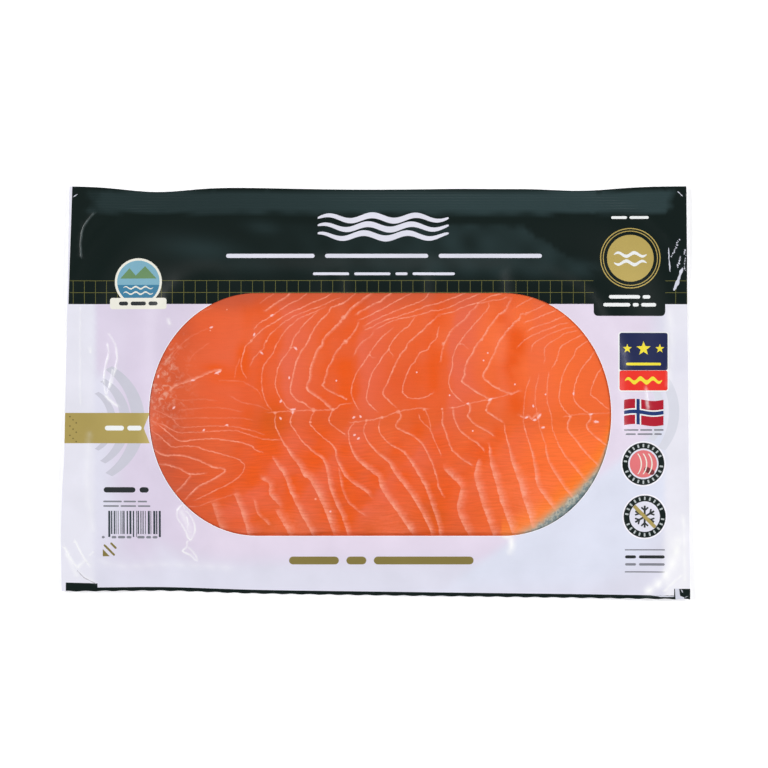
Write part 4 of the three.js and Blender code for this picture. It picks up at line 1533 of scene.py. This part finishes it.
def fleshFields(number, x, y, fat):
    # for each point of a slice: how much it shows of every tone
    lastOne = number == len(slices) - 1
    edgeX, edgeY = zip(*flesh["skinEdge"])
    over = np.interp(x, edgeX, edgeY) - y - 0.8 + 0.4 * patches(x, y, 3, 33)  # past the skin's edge
    for place, reach, start, most in flesh["haze"]:
        fat = fat + most * bell(x, place, reach) * smooth(-y, start, start + 14)
    return {
        "fat": fat,
        "deepOrange": deepShare(number, x, y),
        "paleness": paleShare(number, x, y),
        "warmth": warmShare(x, y),
        "belly": np.where(x > 60, 1 - smooth(-over, 2, 16), 0),
        "greying": np.where(x > 60, 1 - smooth(-over, -0.5, 6), 0) ** 1.3,
        "lowerGrain": 0.3 + 0.7 * smooth(-y, 4, 26),
        "glint": glintShare(x, y),
        "footTone": brownShare(x, y),
        "paintedShade": paintedShadeShare(x, y),
        "skin": np.where((x > 66) & lastOne, smooth(over, -0.8, 0.7), 0),
        "skinRim": np.where(x > 66, smooth(over, 1, 3.4), 0),
        "frost": (1 - smooth(x, -108, -82)) * bell(y, 6, 22) * (number == 0),
    }


def fleshMaterial(fields):
    # cold-smoked salmon: moist orange flesh, pale fat, fine grain across the flakes, grey skin
    material, tree, shader = newMaterial("cold-smoked salmon")
    place = addNode(tree, "TexCoord").outputs["Object"]
    shares = {}
    for name in fields:
        shares[name] = addNode(tree, "Attribute", {"attribute_name": name}).outputs["Fac"]
    cloud = addNode(tree, "TexNoise", links={"Vector": place, "Scale": 26.0, "Detail": 3.0})
    ramp = addNode(tree, "ValToRGB", links={"Fac": cloud.outputs["Fac"]})
    # silver-grey skin with dark scales along the belly's edge
    scales = addNode(tree, "TexNoise", links={"Vector": place, "Scale": 900.0, "Detail": 4.0})
    scaleRamp = addNode(tree, "ValToRGB", links={"Fac": scales.outputs["Fac"]})
    for node, stops in (
        (ramp, [(0.32, "#e75b29"), (0.7, "#ed6838")]),
        (scaleRamp, [(0.38, "#7e8c8e"), (0.64, "#c3c2b2")]),
    ):
        for element, (position, tint) in zip(node.color_ramp.elements, stops):
            element.position = position
            element.color = toLinear(tint)
    rimPatch = addNode(tree, "TexNoise", links={"Vector": place, "Scale": 350.0, "Detail": 2.0})
    rimShare = addNode(tree, "MapRange", links={
        "Value": rimPatch.outputs["Fac"], "From Min": 0.4, "From Max": 0.6, "To Min": 0.1, "To Max": 0.8,
    })
    darker = addNode(tree, "Math", {"operation": "MULTIPLY"}, {
        0: shares["skinRim"], 1: rimShare.outputs["Result"],
    })
    skin = addNode(tree, "Mix", {"data_type": "RGBA"}, {
        "Factor": darker.outputs["Value"], "A": scaleRamp.outputs["Color"], "B": toLinear("#567079"),
    })
    colour = ramp.outputs["Color"]
    for name, tint in flesh["tones"]:
        links = {"Factor": shares[name], "A": colour, "B": toLinear(tint)}
        colour = addNode(tree, "Mix", {"data_type": "RGBA"}, links).outputs["Result"]
    # muscle grain, half a millimetre apart and nearly level
    sway = addNode(tree, "TexNoise", links={"Vector": place, "Scale": 45.0, "Detail": 1.0})
    swayed = addNode(tree, "VectorMath", {"operation": "MULTIPLY_ADD"}, {
        0: sway.outputs["Color"], 1: (0, 6 * mm, 0), 2: place,
    })
    stretched = addNode(tree, "Mapping", links={
        "Vector": swayed.outputs["Vector"], "Rotation": (0, 0, math.radians(-9)), "Scale": (110, 1250, 1),
    })
    grain = addNode(tree, "TexNoise", links={
        "Vector": stretched.outputs["Vector"], "Scale": 1.0, "Detail": 2.0,
    })
    grainShade = addNode(tree, "MapRange", links={
        "Value": grain.outputs["Fac"], "From Min": 0.3, "From Max": 0.7, "To Min": -0.075, "To Max": 0.075,
    })
    grainTone = addNode(tree, "Math", {"operation": "MULTIPLY_ADD"}, {
        0: grainShade.outputs["Result"], 1: shares["lowerGrain"], 2: 1.0,
    })
    grained = addNode(tree, "VectorMath", {"operation": "SCALE"}, {
        0: colour, "Scale": grainTone.outputs["Value"],
    })
    # fat, broken up along the lines and streaked by the grain
    broken = addNode(tree, "TexNoise", links={"Vector": place, "Scale": 800.0, "Detail": 2.0})
    fat = shares["fat"]
    for noise in (broken, grain):
        whole = addNode(tree, "MapRange", links={
            "Value": noise.outputs["Fac"], "From Min": 0.35, "From Max": 0.6, "To Min": 0.65, "To Max": 1.0,
        })
        fat = addNode(tree, "Math", {"operation": "MULTIPLY"}, {
            0: fat, 1: whole.outputs["Result"],
        }).outputs["Value"]
    # dry bloom at the tail end
    speckle = addNode(tree, "TexNoise", links={
        "Vector": place, "Scale": 430.0, "Detail": 5.0, "Distortion": 0.6,
    })
    bloom = addNode(tree, "MapRange", links={
        "Value": speckle.outputs["Fac"], "From Min": 0.5, "From Max": 0.72,
    })
    frost = addNode(tree, "Math", {"operation": "MULTIPLY"}, {
        0: bloom.outputs["Result"], 1: shares["frost"],
    })
    colour = grained.outputs["Vector"]
    for share, tint in (
        (fat, toLinear("#ffab90")),
        (frost.outputs["Value"], toLinear("#eba68e")),
        (shares["skin"], skin.outputs["Result"]),
        # painted glints
        (shares["glint"], toLinear("#ffc9c6")),
    ):
        links = {"Factor": share, "A": colour, "B": tint}
        colour = addNode(tree, "Mix", {"data_type": "RGBA"}, links).outputs["Result"]
    tree.links.new(colour, shader.inputs["Base Color"])
    bump = addNode(tree, "Bump", links={
        "Strength": 0.3, "Distance": 0.1 * mm, "Height": grain.outputs["Fac"],
    })
    tree.links.new(bump.outputs["Normal"], shader.inputs["Normal"])
    shader.inputs["Roughness"].default_value = 0.45
    shader.inputs["IOR"].default_value = 1.36
    return material


def sliceOutline(piece):
    y = mix(piece["bottom"], fish["top"], np.linspace(0, 1, 110))
    toEnd = np.minimum(y - piece["bottom"], fish["top"] - y)
    sides = []
    for edge, radius, inward in zip((piece["left"], freeEdge(piece, y)), piece["radii"], (1, -1)):
        short = np.maximum(radius - toEnd, 0)
        sides.append(edge + inward * (radius - np.sqrt(np.maximum(radius ** 2 - short ** 2, 0))))
    return list(zip(sides[1], y)) + list(zip(sides[0], y))[::-1]


def meshFlesh(sized):
    # one net of triangles for all slices, cut along their outlines and along every fat line
    corners, faces, edges = [], [], []
    for piece in slices:
        addLoop(corners, faces, dense([(float(x), float(y)) for x, y in sliceOutline(piece)], 2.5))
    for knotX, knotY, radius in flesh["knots"]:
        for scale in flesh["knotRim"]:
            corners += [Vector(point) for point in disc(knotX, knotY, radius * scale, 9)]
    for glint in flesh["glints"]:
        for scale in flesh["glintRim"]:
            corners += [Vector(point) for point in glintOutline(glint, scale)]
    for points, half, soft, _ in sized:
        for offset in (-half - flesh["crisp"], -half, half, half + flesh["softCore"] * soft, half + soft):
            row = beside(points, offset)
            edges += [(len(corners) + k, len(corners) + k + 1) for k in range(len(row) - 1)]
            corners += [Vector(point) for point in row.tolist()]
    step, left, bottom = flesh["grid"], slices[0]["left"], fish["bottom"]
    for row in range(int((fish["top"] - bottom) / step) + 1):
        for column in range(int((slices[-1]["right"] - left) / step) + 1):
            corners.append(Vector((left + (column + 0.5 * (row % 2)) * step, bottom + row * step)))
    points, _, triangles, _, _, owners = delaunay_2d_cdt(corners, edges, faces, 1, 1e-4, True)
    print("flesh net", len(points), "points")
    x = np.array([point.x for point in points])
    y = np.array([point.y for point in points])
    return x, y, triangles, owners


def makeSlice(number, x, y, fat, triangles):
    piece = slices[number]
    used = np.unique(np.array(triangles))
    renumbered = np.zeros(len(x), int)
    renumbered[used] = np.arange(len(used))
    x, y = x[used], y[used]
    covered = slices[number + 1:]
    own = sliceRise(piece, x, y)
    lift = flesh["lift"] * len(covered)
    top = borderLift(x, y) + film["back"] + lift + fishHeight(covered, x, y) + own
    mesh = bpy.data.meshes.new(piece["node"].replace("slice", "salmon"))
    mesh.from_pydata(inMetres(x, y, top).tolist(), [], renumbered[np.array(triangles)].tolist())
    mesh.update()
    fields = fleshFields(number, x, y, fat[used])
    for field, values in fields.items():
        writeField(mesh, field, np.clip(values, 0, 1))
    made = bpy.data.objects.new(mesh.name, mesh)
    bpy.context.scene.collection.objects.link(made)
    # thick in the middle, thin at the edges
    thickness = made.vertex_groups.new(name="thickness")
    full = fish["thickness"] + piece["heel"] + fish["gap"]
    parts = np.clip((own * flesh["solidShare"] + flesh["thinnest"]) / full, 0, 1)
    for index, share in enumerate(parts.tolist()):
        thickness.add([index], share, "REPLACE")
    pick(made)
    wall = made.modifiers.new("wall", "SOLIDIFY")
    wall.thickness = full * mm
    wall.offset = -1
    wall.vertex_group = thickness.name
    bpy.ops.object.modifier_apply(modifier=wall.name)
    bpy.ops.object.shade_smooth_by_angle(angle=math.radians(40))
    finishPiece(made, piece["node"])
    print(made.name, len(made.data.polygons), "faces")
    return made, fields


def makeSalmon():
    np.random.seed(4)
    sized = sizeFatLines()
    x, y, triangles, owners = meshFlesh(sized)
    fat = fatShare(sized, x, y)
    made = []
    for number in range(len(slices)):
        own = [triangle for triangle, owner in zip(triangles, owners) if number in owner]
        piece, fields = makeSlice(number, x, y, fat, own)
        made.append(piece)
    material = fleshMaterial(fields)
    for piece in made:
        piece.data.materials.append(material)
    print("salmon made")


makeSalmon()
